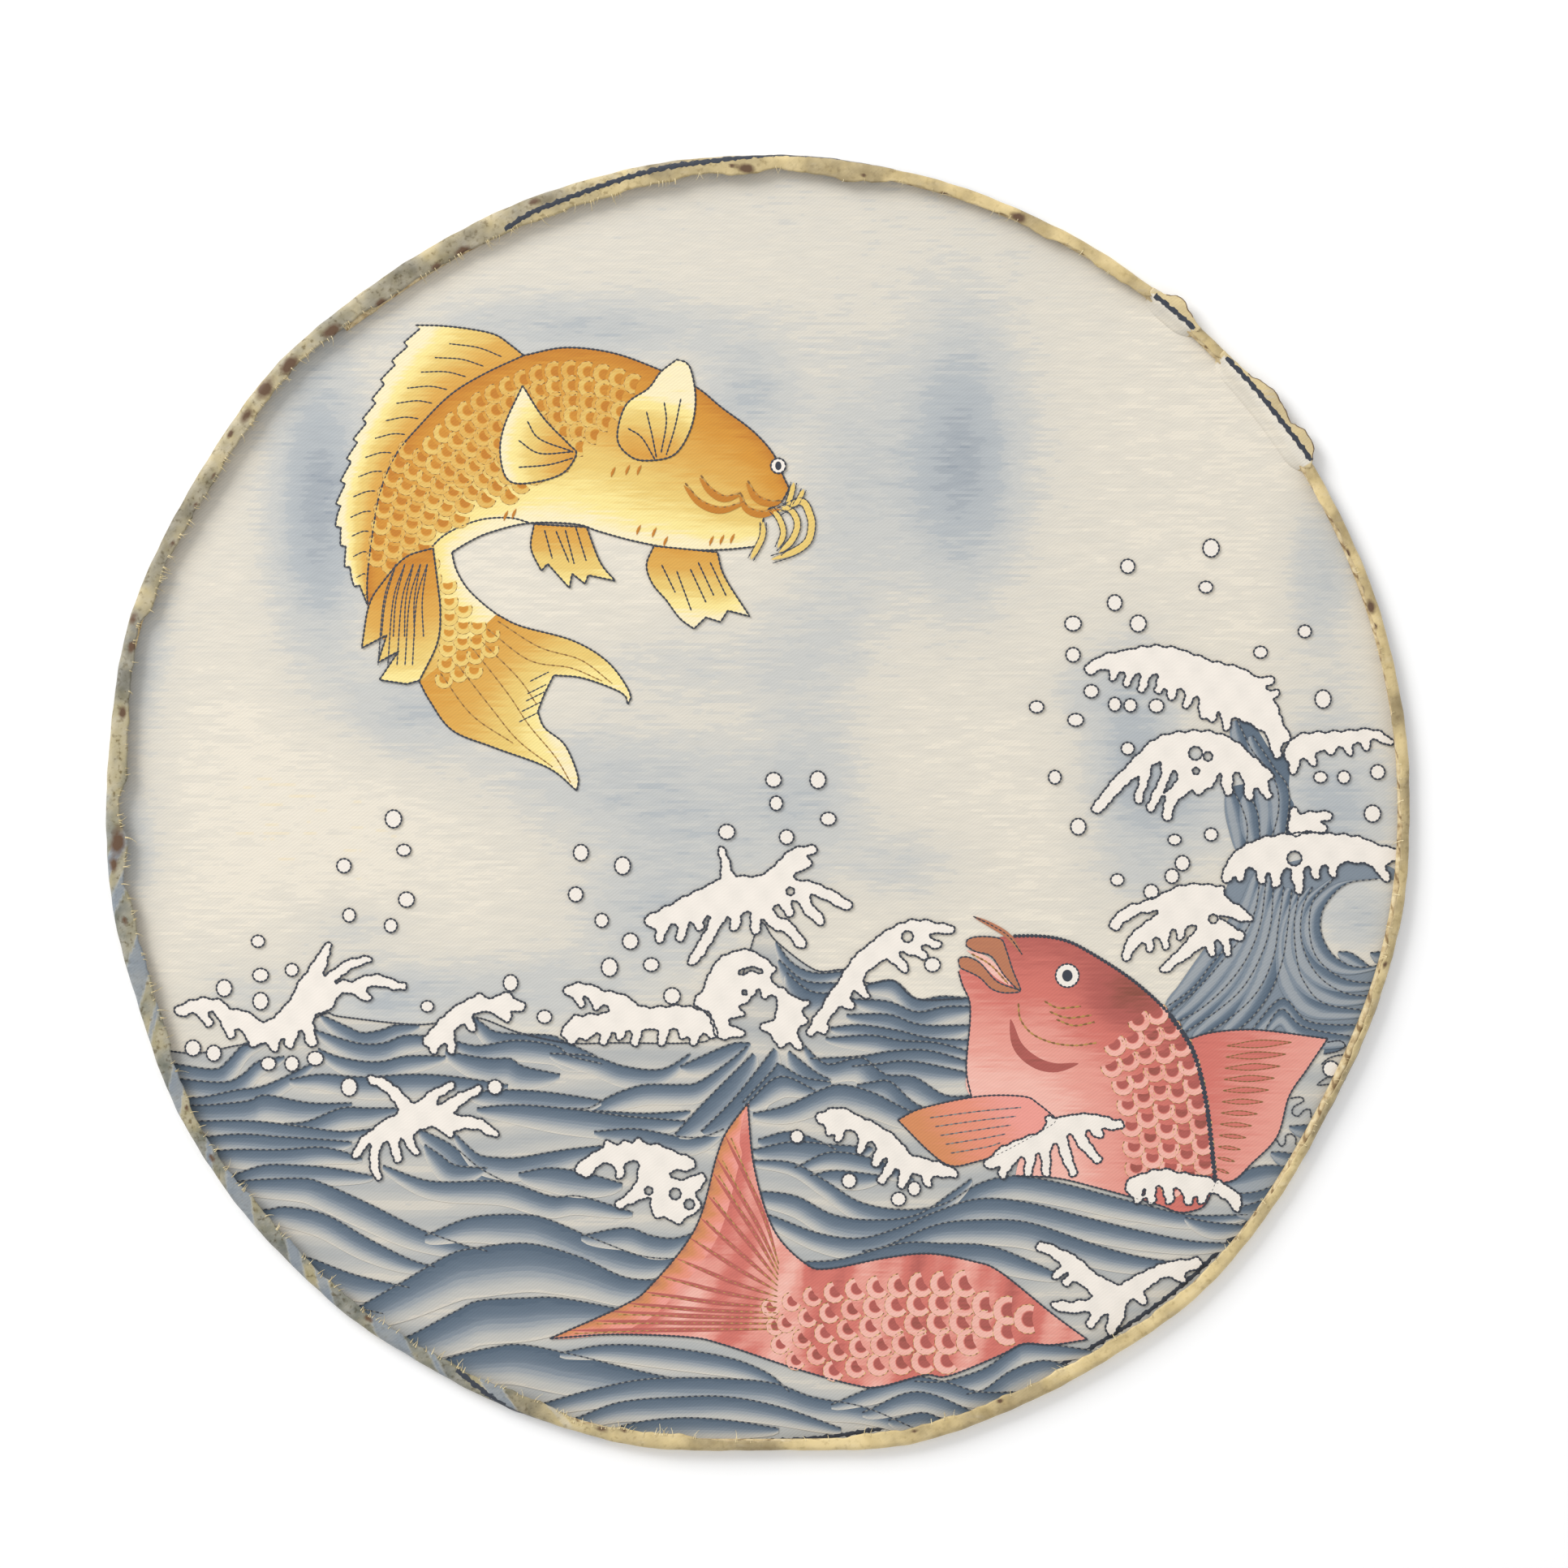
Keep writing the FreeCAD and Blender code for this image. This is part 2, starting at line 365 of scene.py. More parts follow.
# Colour of the turned-in hem, from olive-grey (0) to cream (1), against direction
HEM_TONES = (
    (0, 0.85), (30, 1.0), (70, 1.0), (95, 0.75), (112, 0.45), (130, 0.30), (150, 0.35), (163, 0.35),
    (176, 0.12), (196, 0.0), (243, 0.0), (252, 0.45), (262, 0.9), (300, 1.0), (335, 0.75), (360, 0.85),
)


def sky_shade(x, y):
    """Tone of the plain sky: pale, falling to blue-grey in soft-edged patches, with painted shade towards the
    top and left edges.
    """
    shade = np.full_like(x, PALE)
    for cx, cy, half_w, half_h, strength in SKY_BLUES_AND_EDGE_SHADE:
        away = ((x - cx) / half_w) ** 2 + ((y - cy) / half_h) ** 2
        shade -= strength * 0.62 * np.exp(-away * 1.1)
    return np.clip(shade, 0.05, 0.86)


def cloth_values(degrees, flat, along_hem):
    """Shade, stain, age and tone of the cloth: the sky on its face and the wear of its turned-in hem."""
    radians = np.radians(degrees)
    sky = sky_shade(flat * np.cos(radians), flat * np.sin(radians))
    shade = np.where(flat > by_angle(BORDER, degrees), GROUND, sky)
    stain = np.zeros_like(flat)
    for angle, distance, size in STAINS:
        around = (degrees - angle + 180) % 360 - 180
        away = (np.radians(around) * RIM_RADIUS * 0.55) ** 2 + (along_hem - distance) ** 2
        stain = np.maximum(stain, np.exp(-away / (size * size)))
    age = np.clip((along_hem - 0.7) / 0.8, 0, 1)
    marks = ripple(degrees + 0.7 * along_hem, 6, ((4.0, 1.0), (7.0, 0.9), (13.0, 0.7)))
    marks = np.clip((marks - 0.15) * 4, 0, 1)
    marks = marks * np.clip(np.minimum(degrees - WAVES_FROM, WAVES_TO - degrees) / 6, 0, 1) * age
    shade = shade * (1 - marks) + 0.05 * marks
    age = age * (1 - 0.75 * marks)
    tone = np.broadcast_to(by_angle(HEM_TONES, degrees), flat.shape)
    return {"shade": shade, "stain": stain, "age": age, "tone": tone}


def sheet_faces(rings, columns):
    """Faces of a closed sheet whose front is rings of points, with its back's points after them."""
    other = rings * columns
    faces = []
    for ring in range(rings - 1):
        for c in range(columns):
            a, b = ring * columns + c, ring * columns + (c + 1) % columns
            quad = (a, a + columns, b + columns, b)
            faces.append(quad)
            faces.append(tuple(other + i for i in reversed(quad)))
    last = other - columns
    for c in range(columns):
        a, b = last + c, last + (c + 1) % columns
        faces.append((a, other + a, other + b, b))
    faces.append(tuple(range(columns)))
    faces.append(tuple(other + i for i in reversed(range(columns))))
    return faces


def make_cloth():
    """The silk itself: a closed sheet with the face, the fold over the hoop and the cut edge."""
    columns = 900
    degrees = np.arange(columns) * 360 / columns
    start = fold_start(degrees)
    face_rings = np.concatenate([np.linspace(0.02, 0.95, 38), np.linspace(0.965, 1.0, 4)])
    fold_rings = np.linspace(0, 1, 17)[1:]
    flat = [start * share for share in face_rings]
    flat += [start + hem_reach(degrees) * share for share in fold_rings]
    flat = np.array(flat)
    values = cloth_values(degrees, flat, flat - start)
    everywhere = np.broadcast_to(degrees, flat.shape)
    sides = [cloth_form(everywhere, flat, 0.0, side).reshape(-1, 3) for side in (1, -1)]
    twice = {key: np.tile(each.ravel(), 2) for key, each in values.items()}
    return add_object("silk_cloth", np.concatenate(sides), sheet_faces(len(flat), columns), SKY, **twice)


cloth = make_cloth()
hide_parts("silk_panel")

# ---- Drawing on the cloth ---------------------------------------------------------------------------

# Height of each woven layer above the silk in mm. Each foam lies a little above the one before it.
LIFTS = {
    "sea_water": 0.02, "sea_crest_threads": 0.19,
    "gold_carp_body": 0.20, "gold_carp_scales": 0.206, "gold_carp_lower_threads": 0.208,
    "gold_scale_threads": 0.212, "gold_carp_fins": 0.290, "gold_carp_eye": 0.297,
    "gold_carp_threads": 0.305, "gold_carp_pupil": 0.322,
    "red_carp_body": 0.226, "red_carp_fins": 0.230, "red_carp_scales": 0.232, "red_scale_threads": 0.241,
    "red_carp_amber": 0.250, "red_carp_threads": 0.257, "red_carp_eye": 0.262, "red_carp_pupil": 0.296,
    "red_tail_body": 0.226, "red_tail_amber": 0.230, "red_tail_scales": 0.231,
    "red_tail_gilt_threads": 0.241, "red_tail_threads": 0.257,
    "spray_drops": 0.322, "spray_drop_threads": 0.330, "foam_threads": 0.325,
    "great_wave_foam_threads": 0.325,
}
FOAM_LIFT = 0.27


def curve(points, closed=False, step=0.7):
    """Smooth line through points, about one sample every step mm. A third column is eased as well."""
    p = np.array(points, float)
    if len(p) == 2:
        p = np.array([p[0], (p[0] + p[1]) / 2, p[1]])
    ends = (p[-1:], p[:2]) if closed else ([2 * p[0] - p[1]], [2 * p[-1] - p[-2]])
    p = np.concatenate([ends[0], p, ends[1]])
    line = []
    for a, b, c, d in zip(p, p[1:], p[2:], p[3:]):
        count = max(2, int(np.hypot(*(c - b)[:2]) / step))
        t = (np.arange(count) / count)[:, None]
        bend, twist = 2 * a - 5 * b + 4 * c - d, 3 * b - a - 3 * c + d
        line.append((2 * b + (c - a) * t + bend * t ** 2 + twist * t ** 3) / 2)
    if not closed:
        line.append(p[-2:-1])
    return np.concatenate(line)


def evenly(line, step, closed=False):
    """The same line with its points a step apart."""
    line = np.asarray(line, float)[:, :2]
    if closed:
        line = np.concatenate([line, line[:1]])
    along = np.concatenate([[0], np.cumsum(np.hypot(*np.diff(line, axis=0).T))])
    count = max(3, int(round(along[-1] / step)))
    marks = np.linspace(0, along[-1], count + 1)[:count if closed else count + 1]
    return np.stack([np.interp(marks, along, line[:, 0]), np.interp(marks, along, line[:, 1])], axis=1)


def side_of(line, closed=False):
    """Unit vectors to the right of a line's direction of travel."""
    ahead = np.roll(line, -1, 0) - np.roll(line, 1, 0) if closed else np.gradient(line, axis=0)
    ahead /= np.maximum(np.hypot(ahead[:, 0], ahead[:, 1]), 1e-9)[:, None]
    return np.stack([ahead[:, 1], -ahead[:, 0]], axis=1)


def corners(*runs):
    """Closed outline of smooth runs that meet at corners."""
    line = np.concatenate([curve(run)[:, :2] for run in runs])
    apart = np.hypot(*(line - np.roll(line, 1, 0)).T) > 0.06
    return line[apart]


def serrated(points, teeth, depth):
    """Smooth run cut into saw teeth, whose tips touch it."""
    line = curve(points, step=0.35)
    share = np.linspace(0, teeth, len(line)) % 1.0
    return line - side_of(line) * (depth * (1 - share))[:, None]


def nearness(line, x, y):
    """Distance from each place to a line's nearest point."""
    line = np.asarray(line)[:, :2]
    return np.min(np.hypot(x[:, None] - line[:, 0], y[:, None] - line[:, 1]), axis=1)


def between(line_a, line_b, low, high, power=1.0):
    """Shade that goes from low at one line to high at the other."""
    def shade(x, y):
        a, b = nearness(line_a, x, y), nearness(line_b, x, y)
        return low + (high - low) * (a / np.maximum(a + b, 1e-6)) ** power
    return shade


def enclosed(line, x, y):
    """True for each place inside a closed outline."""
    inside = np.zeros(len(x), bool)
    for (ax, ay), (bx, by) in zip(line, np.roll(line, -1, 0)):
        if ay != by:
            inside ^= ((ay > y) != (by > y)) & (x < (bx - ax) * (y - ay) / (by - ay) + ax)
    return inside


def to_fold(places):
    """Places past the start of the fold are pulled back to it; the second result says which they were."""
    degrees = np.degrees(np.arctan2(places[:, 1], places[:, 0]))
    limit = fold_start(degrees)
    scale = np.minimum(1, limit / np.maximum(np.hypot(places[:, 0], places[:, 1]), 1e-6))
    return places * scale[:, None], scale < 1


class Weave:
    """Woven areas or threads of one material, gathered into one piece.

    Its lift is its height on the cloth in mm. Pieces of thread have no floats on the cloth's back.
    """

    def __init__(self, name, material, lift=None, threads=False):
        self.name, self.material, self.threads = name, material, threads
        self.lift = LIFTS[name] if lift is None else lift
        self.places, self.heights, self.shades, self.faces = [], [], [], []
        self.count = 0

    def add(self, places, heights, shades, faces):
        places, past = to_fold(np.asarray(places, float)[:, :2])
        self.faces += [tuple(int(i) + self.count for i in f) for f in faces if not all(past[i] for i in f)]
        self.places.append(places)
        self.heights.append(np.broadcast_to(heights, len(places)))
        self.shades.append(np.broadcast_to(shades, len(places)))
        self.count += len(places)

    def area(self, outline, shade, lift=0.0, spacing=1.5):
        """A filled area, with holes where a list of outlines is given. The shade is a number, or a
        function of the places."""
        outlines = outline if isinstance(outline, list) else [outline]
        loops = [to_fold(np.asarray(loop)[:, :2])[0] for loop in outlines]
        ring = np.concatenate(loops)
        edges, first = [], 0
        for loop in loops:
            edges += [(first + i, first + (i + 1) % len(loop)) for i in range(len(loop))]
            first += len(loop)
        low, high = ring.min(0), ring.max(0)
        gx, gy = np.meshgrid(np.arange(low[0], high[0], spacing), np.arange(low[1], high[1], spacing))
        gx, gy = gx.ravel(), gy.ravel()
        keep = enclosed(loops[0], gx, gy)
        gx, gy = gx[keep], gy[keep]
        if len(gx):
            keep = nearness(ring, gx, gy) > 0.4 * spacing
            gx, gy = gx[keep], gy[keep]
        spots = [Vector(p) for p in np.concatenate([ring, np.stack([gx, gy], axis=1)])]
        found = delaunay_2d_cdt(spots, edges, [], 1, 1e-5)
        places = np.array([tuple(v) for v in found[0]])
        faces = [f for f in found[2] if len(f) == 3]
        middles = places[np.array(faces)].mean(axis=1)
        for hole in loops[1:]:
            if enclosed(loops[0], hole[:1, 0], hole[:1, 1])[0]:
                drop = enclosed(hole, middles[:, 0], middles[:, 1])
                faces = [f for f, gone in zip(faces, drop) if not gone]
                middles = middles[~drop]
        shades = shade(places[:, 0], places[:, 1]) if callable(shade) else shade
        self.add(places, lift, shades, faces)

    def ribbon(self, line, half_width, shade, height, closed=False, lift=0.0):
        """A low ridge along a line, with one value of each kind for each point."""
        count = len(line)
        across = side_of(line, closed) * np.broadcast_to(half_width, count)[:, None]
        height = np.broadcast_to(height, count)
        places = np.stack([line - across, line, line + across], axis=1).reshape(-1, 2)
        heights = lift + np.stack([height * 0, height, height * 0], axis=1).ravel()
        faces = []
        for i in range(count if closed else count - 1):
            a, b = 3 * i, 3 * ((i + 1) % count)
            faces += [(a + 2, b + 2, b + 1, a + 1), (a + 1, b + 1, b, a)]
        self.add(places, heights, np.repeat(np.broadcast_to(shade, count), 3), faces)

    def thread(self, line, shades=(0.0,), width=0.42, pitch=0.9, closed=False, height=0.07, lift=0.0):
        """A line of stitches in the shades in turn, each swelling between its pinched ends."""
        line = evenly(line, pitch / 4, closed)
        phase = np.arange(len(line)) / 4
        swell = np.abs(np.sin(np.pi * phase))
        shade = np.array(shades, float)[phase.astype(int) % len(shades)]
        half_width = width / 2 * (0.35 + 0.65 * swell)
        self.ribbon(line, half_width, shade, height * (0.1 + 0.9 * swell), closed, lift)

    def stitch(self, runs, shades=(0.0,), **form):
        """A thread along the smooth line through each run of points."""
        for run in runs:
            self.thread(curve(run), shades, **form)

    def ray(self, points, width, shade, lift=0.0, height=0.05):
        """A long thin leaf of one shade, pointed at both ends."""
        line = evenly(curve(points), 0.8)
        swell = np.sin(np.linspace(0, math.pi, len(line))) ** 0.6
        self.ribbon(line, width / 2 * np.maximum(swell, 0.08), shade, height * swell, lift=lift)

    def fan(self, base, edge, count, start, stop, draw):
        """Rays from a fin's base to its edge, evenly spread, drawn by a function of two end points."""
        for a, b in zip(spread(base, count), spread(edge, count)):
            draw(a + (b - a) * start, a + (b - a) * stop)

    def band(self, crest, depth, tones, lift):
        """Water below a crest: the tones from the crest down, thinner towards both ends."""
        line = evenly(curve(crest), 1.0)
        count = len(line)
        t = np.linspace(0, 1, count)
        deep = depth * (0.22 + 0.78 * np.sin(math.pi * t) ** 0.7)
        chord = line[-1] - line[0]
        across = 0.25 * side_of(line) + 0.75 * np.array([chord[1], -chord[0]]) / np.hypot(*chord)
        rows = [line + across * (deep * share)[:, None] for share in np.linspace(0, 1, len(tones))]
        faces = []
        for row in range(len(tones) - 1):
            for i in range(count - 1):
                a, b = row * count + i, (row + 1) * count + i
                faces.append((b, b + 1, a + 1, a))
        self.add(np.concatenate(rows), lift, np.repeat(tones, count), faces)

    def build(self):
        places = np.concatenate(self.places)
        heights = np.concatenate(self.heights) + self.lift
        shades = np.concatenate(self.shades)
        verts = [on_cloth(places[:, 0], places[:, 1], heights)]
        faces = list(self.faces)
        if not self.threads:
            verts.append(on_cloth(places[:, 0], places[:, 1], heights * BACK_SHARE, -1))
            faces += [tuple(len(places) + i for i in reversed(f)) for f in self.faces]
        piece = add_object(self.name, np.concatenate(verts), faces, self.material,
                           shade=np.tile(shades, len(verts)))


def spread(line, count):
    """Points in the middle of count even shares of a line."""
    line = evenly(line, 0.5)
    return [line[int(round((len(line) - 1) * (i + 0.5) / count))] for i in range(count)]


def contours(field, corner, cell):
    """Closed lines round the negative parts of a grid of distances."""
    inside = field < 0
    full = inside[:-1, :-1].astype(int) + inside[1:, :-1] + inside[:-1, 1:] + inside[1:, 1:]
    follow = {}
    for r, c in np.argwhere((full > 0) & (full < 4)):
        around = [(r, c), (r, c + 1), (r + 1, c + 1), (r + 1, c)]
        cuts = [(a, b) for a, b in zip(around, around[1:] + around[:1]) if inside[a] != inside[b]]
        for i, (a, b) in enumerate(cuts):
            if inside[a]:
                follow[frozenset((a, b))] = frozenset(cuts[(i + 1) % len(cuts)])
    lines = []
    while follow:
        start, key = follow.popitem()
        keys = [start]
        while key != start:
            keys.append(key)
            key = follow.pop(key)
        spots = []
        for a, b in (sorted(k) for k in keys):
            t = field[a] / (field[a] - field[b])
            spots.append((corner[0] + cell * (a[1] + t * (b[1] - a[1])),
                          corner[1] + cell * (a[0] + t * (b[0] - a[0]))))
        lines.append(np.array(spots))
    return lines


WATER = woven("silk_water", (
    (0.00, 74, 91, 108), (0.22, 94, 109, 124), (0.42, 122, 133, 144),
    (0.60, 150, 156, 161), (0.80, 180, 180, 176), (1.00, 204, 198, 186),
), comb=0.06, streak=0.06, levels=7)
GOLD = woven("silk_gold", (
    (0.00, 188, 118, 22), (0.20, 204, 140, 40), (0.45, 212, 160, 68),
    (0.70, 224, 192, 106), (0.88, 240, 220, 142), (1.00, 240, 226, 184),
), comb=0.12, streak=0.08)
CORAL = woven("silk_coral", (
    (0.00, 128, 66, 50), (0.20, 170, 84, 76), (0.45, 204, 110, 98),
    (0.68, 224, 150, 136), (0.85, 233, 176, 162), (1.00, 238, 196, 184),
), comb=0.12, streak=0.06)
AMBER = woven("silk_amber", (
    (0.00, 176, 112, 80), (0.40, 205, 132, 84), (0.70, 222, 138, 112),
    (1.00, 230, 150, 138),
), comb=0.12, streak=0.06)
WHITE = woven("silk_foam", ((0.0, 186, 184, 180), (0.5, 217, 211, 202), (1.0, 235, 227, 217)),
              comb=0.05, streak=0.03, rib=0.05)
INK = woven("silk_ink_thread", (
    (0.00, 44, 50, 62), (0.35, 86, 92, 100), (0.70, 170, 166, 152), (1.00, 222, 214, 192),
), comb=0.03, streak=0.08, rib=0.06, rough=0.5)
GILT = woven("silk_gilt_thread", (
    (0.00, 120, 84, 40), (0.50, 176, 136, 70), (1.00, 226, 194, 128),
), comb=0.05, streak=0.10, rib=0.06, rough=0.42)

# ---- The sea ----------------------------------------------------------------------------------------

# Each crest: depth of the water drawn below it in mm, then the points that its line goes through.
# The order is that of painting, far waves first.
CRESTS = (
    (3, (20, -35), (26, -34), (30.5, -37.5), (35.5, -37), (42, -37.5)),
    (3, (18, -37.5), (25, -38), (30.5, -40), (36, -39), (42, -39)),
    (3, (17, -40.5), (25, -40.5), (31.5, -42.5), (42, -42.5)),
    (2, (3.5, -26.5), (6.5, -30.5), (11, -32.5), (18, -32)),
    (3, (4, -30), (9, -34), (16, -34.5)),
    (4, (5.5, -32.5), (10, -36), (16, -36.5)),
    (3, (14, -43), (19.5, -42.5), (26.5, -43.5), (33, -45), (42, -45.5)),
    (2.5, (13, -45), (21.5, -44.5), (27.5, -45.5), (34.5, -46), (42, -48)),
    (3, (10, -49), (19.5, -48.5), (26, -47.5), (33, -47.5), (42, -50)),
    (3, (18, -50.5), (23, -50), (29.5, -49.5), (42, -52)),
    (4, (9, -46.5), (13, -50), (18, -49), (20.5, -49), (24.5, -52), (30, -52.5), (36, -56), (42, -56)),
    (3, (6, -47.5), (11, -51.5), (14, -53)),
    (4, (19, -54), (22, -53.5), (25.5, -53.5), (31, -58), (40, -60)),
    (3, (-84, -40.5), (-78.5, -43), (-76, -44), (-72.5, -43.5), (-69.5, -42.5), (-65, -42.5)),
    (3, (-85, -43.5), (-77, -46), (-72, -46), (-67.5, -44.5), (-60, -45)),
    (3.5, (-55, -40.5), (-52.5, -42.5), (-49.5, -44), (-40, -44.5), (-37.5, -45.5), (-31, -48.5)),
    (3, (-60, -45), (-54, -46.5), (-46.5, -45.5), (-39, -46.5), (-36, -48.5), (-30, -50)),
    (4, (-60, -47.5), (-55, -48.5), (-51, -49), (-47.5, -49), (-45, -50.5), (-38, -52)),
    (3, (-40, -48), (-32, -48.5), (-25.5, -50.5), (-18.5, -51), (-13, -48)),
    (3, (-15, -50.5), (-8.5, -47.5), (-4.5, -46), (-1.5, -46)),
    (3, (-84.5, -47), (-81, -48.5), (-76, -49.5), (-72, -49.5), (-67.5, -48.5), (-60, -48.5)),
    (3, (-118, -49), (-112, -50), (-104.5, -51), (-102, -49.5), (-98.5, -46), (-94, -45)),
    (3, (-117, -52), (-110, -53), (-102.5, -53.5), (-99, -52), (-96, -49.5), (-91, -48.5)),
    (2.5, (-116, -55), (-108.5, -56.5), (-100, -55), (-96, -54.5), (-92, -53), (-85, -49.5)),
    (4, (-115, -57.5), (-108, -58), (-101, -57.5), (-97.5, -57), (-94.5, -56), (-86, -57.5), (-78, -57.5)),
    (3.5, (-90, -53), (-84, -52), (-76, -52.5), (-66, -52), (-58, -52.5), (-48, -54)),
    (3, (-36.5, -58.5), (-32.5, -58.5), (-29, -56.5), (-25.5, -55), (-21.5, -54), (-15, -54), (-11.5, -53.5),
     (-5.5, -49.5), (-2, -46.5)),
    (2.5, (-31.5, -59), (-21.5, -59.5), (-13, -59)),
    (3.5, (-56, -55.5), (-48, -55), (-40, -55.5), (-30, -57)),
    (4, (-54, -58.5), (-49.5, -58), (-43.5, -58), (-33, -59), (-26, -60), (-14, -61)),
    (3, (-31.5, -63), (-23.5, -62.5), (-15, -64), (-10.5, -64), (-6.5, -62.5)),
    (5, (-16, -63.5), (-10, -57), (-1, -48)),
    (5, (-11, -63), (-4.5, -56.5), (3, -47)),
    (3.5, (-3, -57.5), (3, -51), (4, -50), (8.5, -52.5), (14, -53.5)),
    (3, (-2.5, -58), (4, -52.5), (11, -55)),
    (4, (-1, -59.5), (5.5, -58), (12, -55), (16, -54), (22, -55.5), (28, -58.5), (36, -62)),
    (3, (-91, -61.5), (-86.5, -61), (-80, -58.5), (-75, -58.5), (-69, -58.5)),
    (3, (-112, -61.5), (-106.5, -61), (-97, -61), (-88, -62), (-80, -63), (-74, -62.5)),
    (3, (-110, -64.5), (-100, -63.5), (-92, -64), (-84, -64.5), (-78, -65)),
    (3, (-110, -67.5), (-101.5, -66.5), (-92, -66.5), (-85, -66), (-81, -66.5), (-76, -68)),
    (3.5, (-65, -62.5), (-59, -65.5), (-53.5, -70), (-48, -73)),
    (3.5, (-58.5, -63), (-56, -65.5), (-53.5, -67.5), (-50, -68), (-46, -68), (-37, -66.5), (-28, -65.5)),
    (3, (-64, -65.5), (-61, -67.5), (-58, -69.5), (-52, -70)),
    (4, (0, -64.5), (6, -63), (11, -64.5), (15, -66.5)),
    (4, (-1, -66.5), (6.5, -65), (14, -65.5), (22, -66)),
    (2.5, (7, -70), (14, -67), (23, -68.5), (30, -72)),
    (3, (-106, -72), (-101.5, -71.5), (-95, -69.5), (-88.5, -69.5), (-82, -70), (-74, -71.5)),
    (3.5, (-72, -69.5), (-63, -72.5), (-52, -72.5), (-47, -73), (-39.5, -75.5), (-34, -75.5), (-24, -78.5)),
    (4, (-46, -71), (-40, -70), (-33, -71), (-26, -73)),
    (4, (-104, -73.5), (-99.5, -72.5), (-88, -72), (-83.5, -73), (-74.5, -77), (-65.5, -81.5), (-57.5, -84.5),
     (-52, -86)),
    (2.5, (10, -71.5), (15, -70.5), (24, -71.5)),
    (3.5, (-2, -68.5), (6.5, -69), (13, -72.5), (19.5, -76.5), (27.5, -78), (35.5, -77), (42.5, -73),
     (49.5, -71.5), (58.5, -73), (68, -75.5), (74, -77), (83, -79), (94, -79)),
    (2, (82, -79.5), (87.5, -80.5), (94, -81)),
    (4, (-5, -74.5), (1, -74.5), (7.5, -75.5), (14.5, -79), (22.5, -80), (30.5, -79), (37.5, -74.5),
     (41, -72)),
    (3.5, (-101, -78), (-94.5, -78), (-90.5, -77.5), (-83, -79), (-75, -83.5), (-67, -87.5), (-62, -89)),
    (5.5, (-64, -83), (-55, -79.5), (-45, -79), (-40, -80), (-30.5, -84), (-22, -87), (-14, -87.5)),
    (3.5, (-34, -83), (-25.5, -81.5), (-20.5, -83), (-16, -83.5), (-11, -82)),
    (4, (-4, -78), (2, -79), (11.5, -82.5), (19.5, -83.5), (27, -81.5), (34, -78.5), (42, -76), (51, -76.5),
     (63, -79.5), (73, -82), (83, -84), (91, -84.5)),
    (4, (20, -86), (24.5, -85), (34, -81), (42.5, -80), (52, -80.5), (64, -84.5), (73, -87), (83, -88.5)),
    (4, (-91, -86), (-85.5, -87.5), (-77.5, -90.5), (-67, -93)),
    (4, (-86, -93), (-80, -96), (-72, -98)),
    (5, (2, -88), (9, -88), (16, -87.5), (27.5, -84.5), (35.5, -84.5), (44.5, -85), (52.5, -88), (58, -90.5)),
    (8.5, (-81, -99), (-75.5, -96), (-68.5, -92), (-60, -87), (-55, -85.5), (-44.5, -84.5), (-34.5, -87),
     (-25.5, -91), (-18, -91.5)),
    (7.5, (-72, -104), (-66.5, -102), (-58, -97.5), (-53.5, -95.5), (-44.5, -95), (-38, -95), (-27, -97)),
    (7, (-64, -109), (-59.5, -106.5), (-51, -104.5), (-45, -104), (-35, -106), (-25, -108.5), (-16, -110.5)),
    (3, (-38, -105.5), (-29, -104), (-17.5, -104.5), (-5.5, -106.5), (2, -109.5), (6, -113)),
    (3, (30, -111), (35.5, -111), (43.5, -108.5), (49, -104.5), (52, -103.5), (64, -105)),
    (3, (40, -113.5), (43.5, -112.5), (48.5, -109), (54.5, -107), (60, -108)),
    (4, (-46, -116.5), (-40.5, -115), (-31.5, -112.5), (-20.5, -110.5), (-5.5, -110.5), (3.5, -111.5),
     (10.5, -114), (20.5, -116), (30, -120)),
    (3.5, (-40, -119), (-35, -118), (-26.5, -115), (-15, -114), (-5.5, -114), (4.5, -116), (16, -120)),
    (3, (-30, -121), (-24, -119), (-15, -118), (-5.5, -118.5), (4, -120)),
    (3, (14, -115.5), (21, -112.5), (28.5, -110), (35.5, -111), (42.5, -113), (50, -113)),
    (3, (20, -117), (30.5, -113), (42, -117)),
    (2.5, (25, -118.5), (31.5, -117), (36, -118.5)),
)
# The great wave at the right: the edge of its hollow, its plain outline in three runs, and the shadow
# under its upper crest
HOLLOW_EDGE = ((119, -14.5), (113, -15.5), (109, -19.5), (108, -23.5), (109, -27), (111.5, -30), (116, -31.5),
               (124, -30))
GREAT_WAVE = (
    ((93, -9), (97, -12), (110, -10), (121, -12), (124, -15)),
    HOLLOW_EDGE,
    ((120, -38), (117.5, -45), (109.4, -45.6), (84, -47), (78.5, -40.5), (83, -36), (87, -30), (91.5, -25.5),
     (94, -21), (89.5, -18.5), (93, -9)),
)
CREST_SHADOW = ((91, 15), (94.5, 16), (99, 9.5), (102, 9), (102, 2), (103, -1), (101.5, -9), (92.5, -10),
                (93, -5), (90.5, 2.5), (95.5, 4.5), (93, 10), (91, 15))
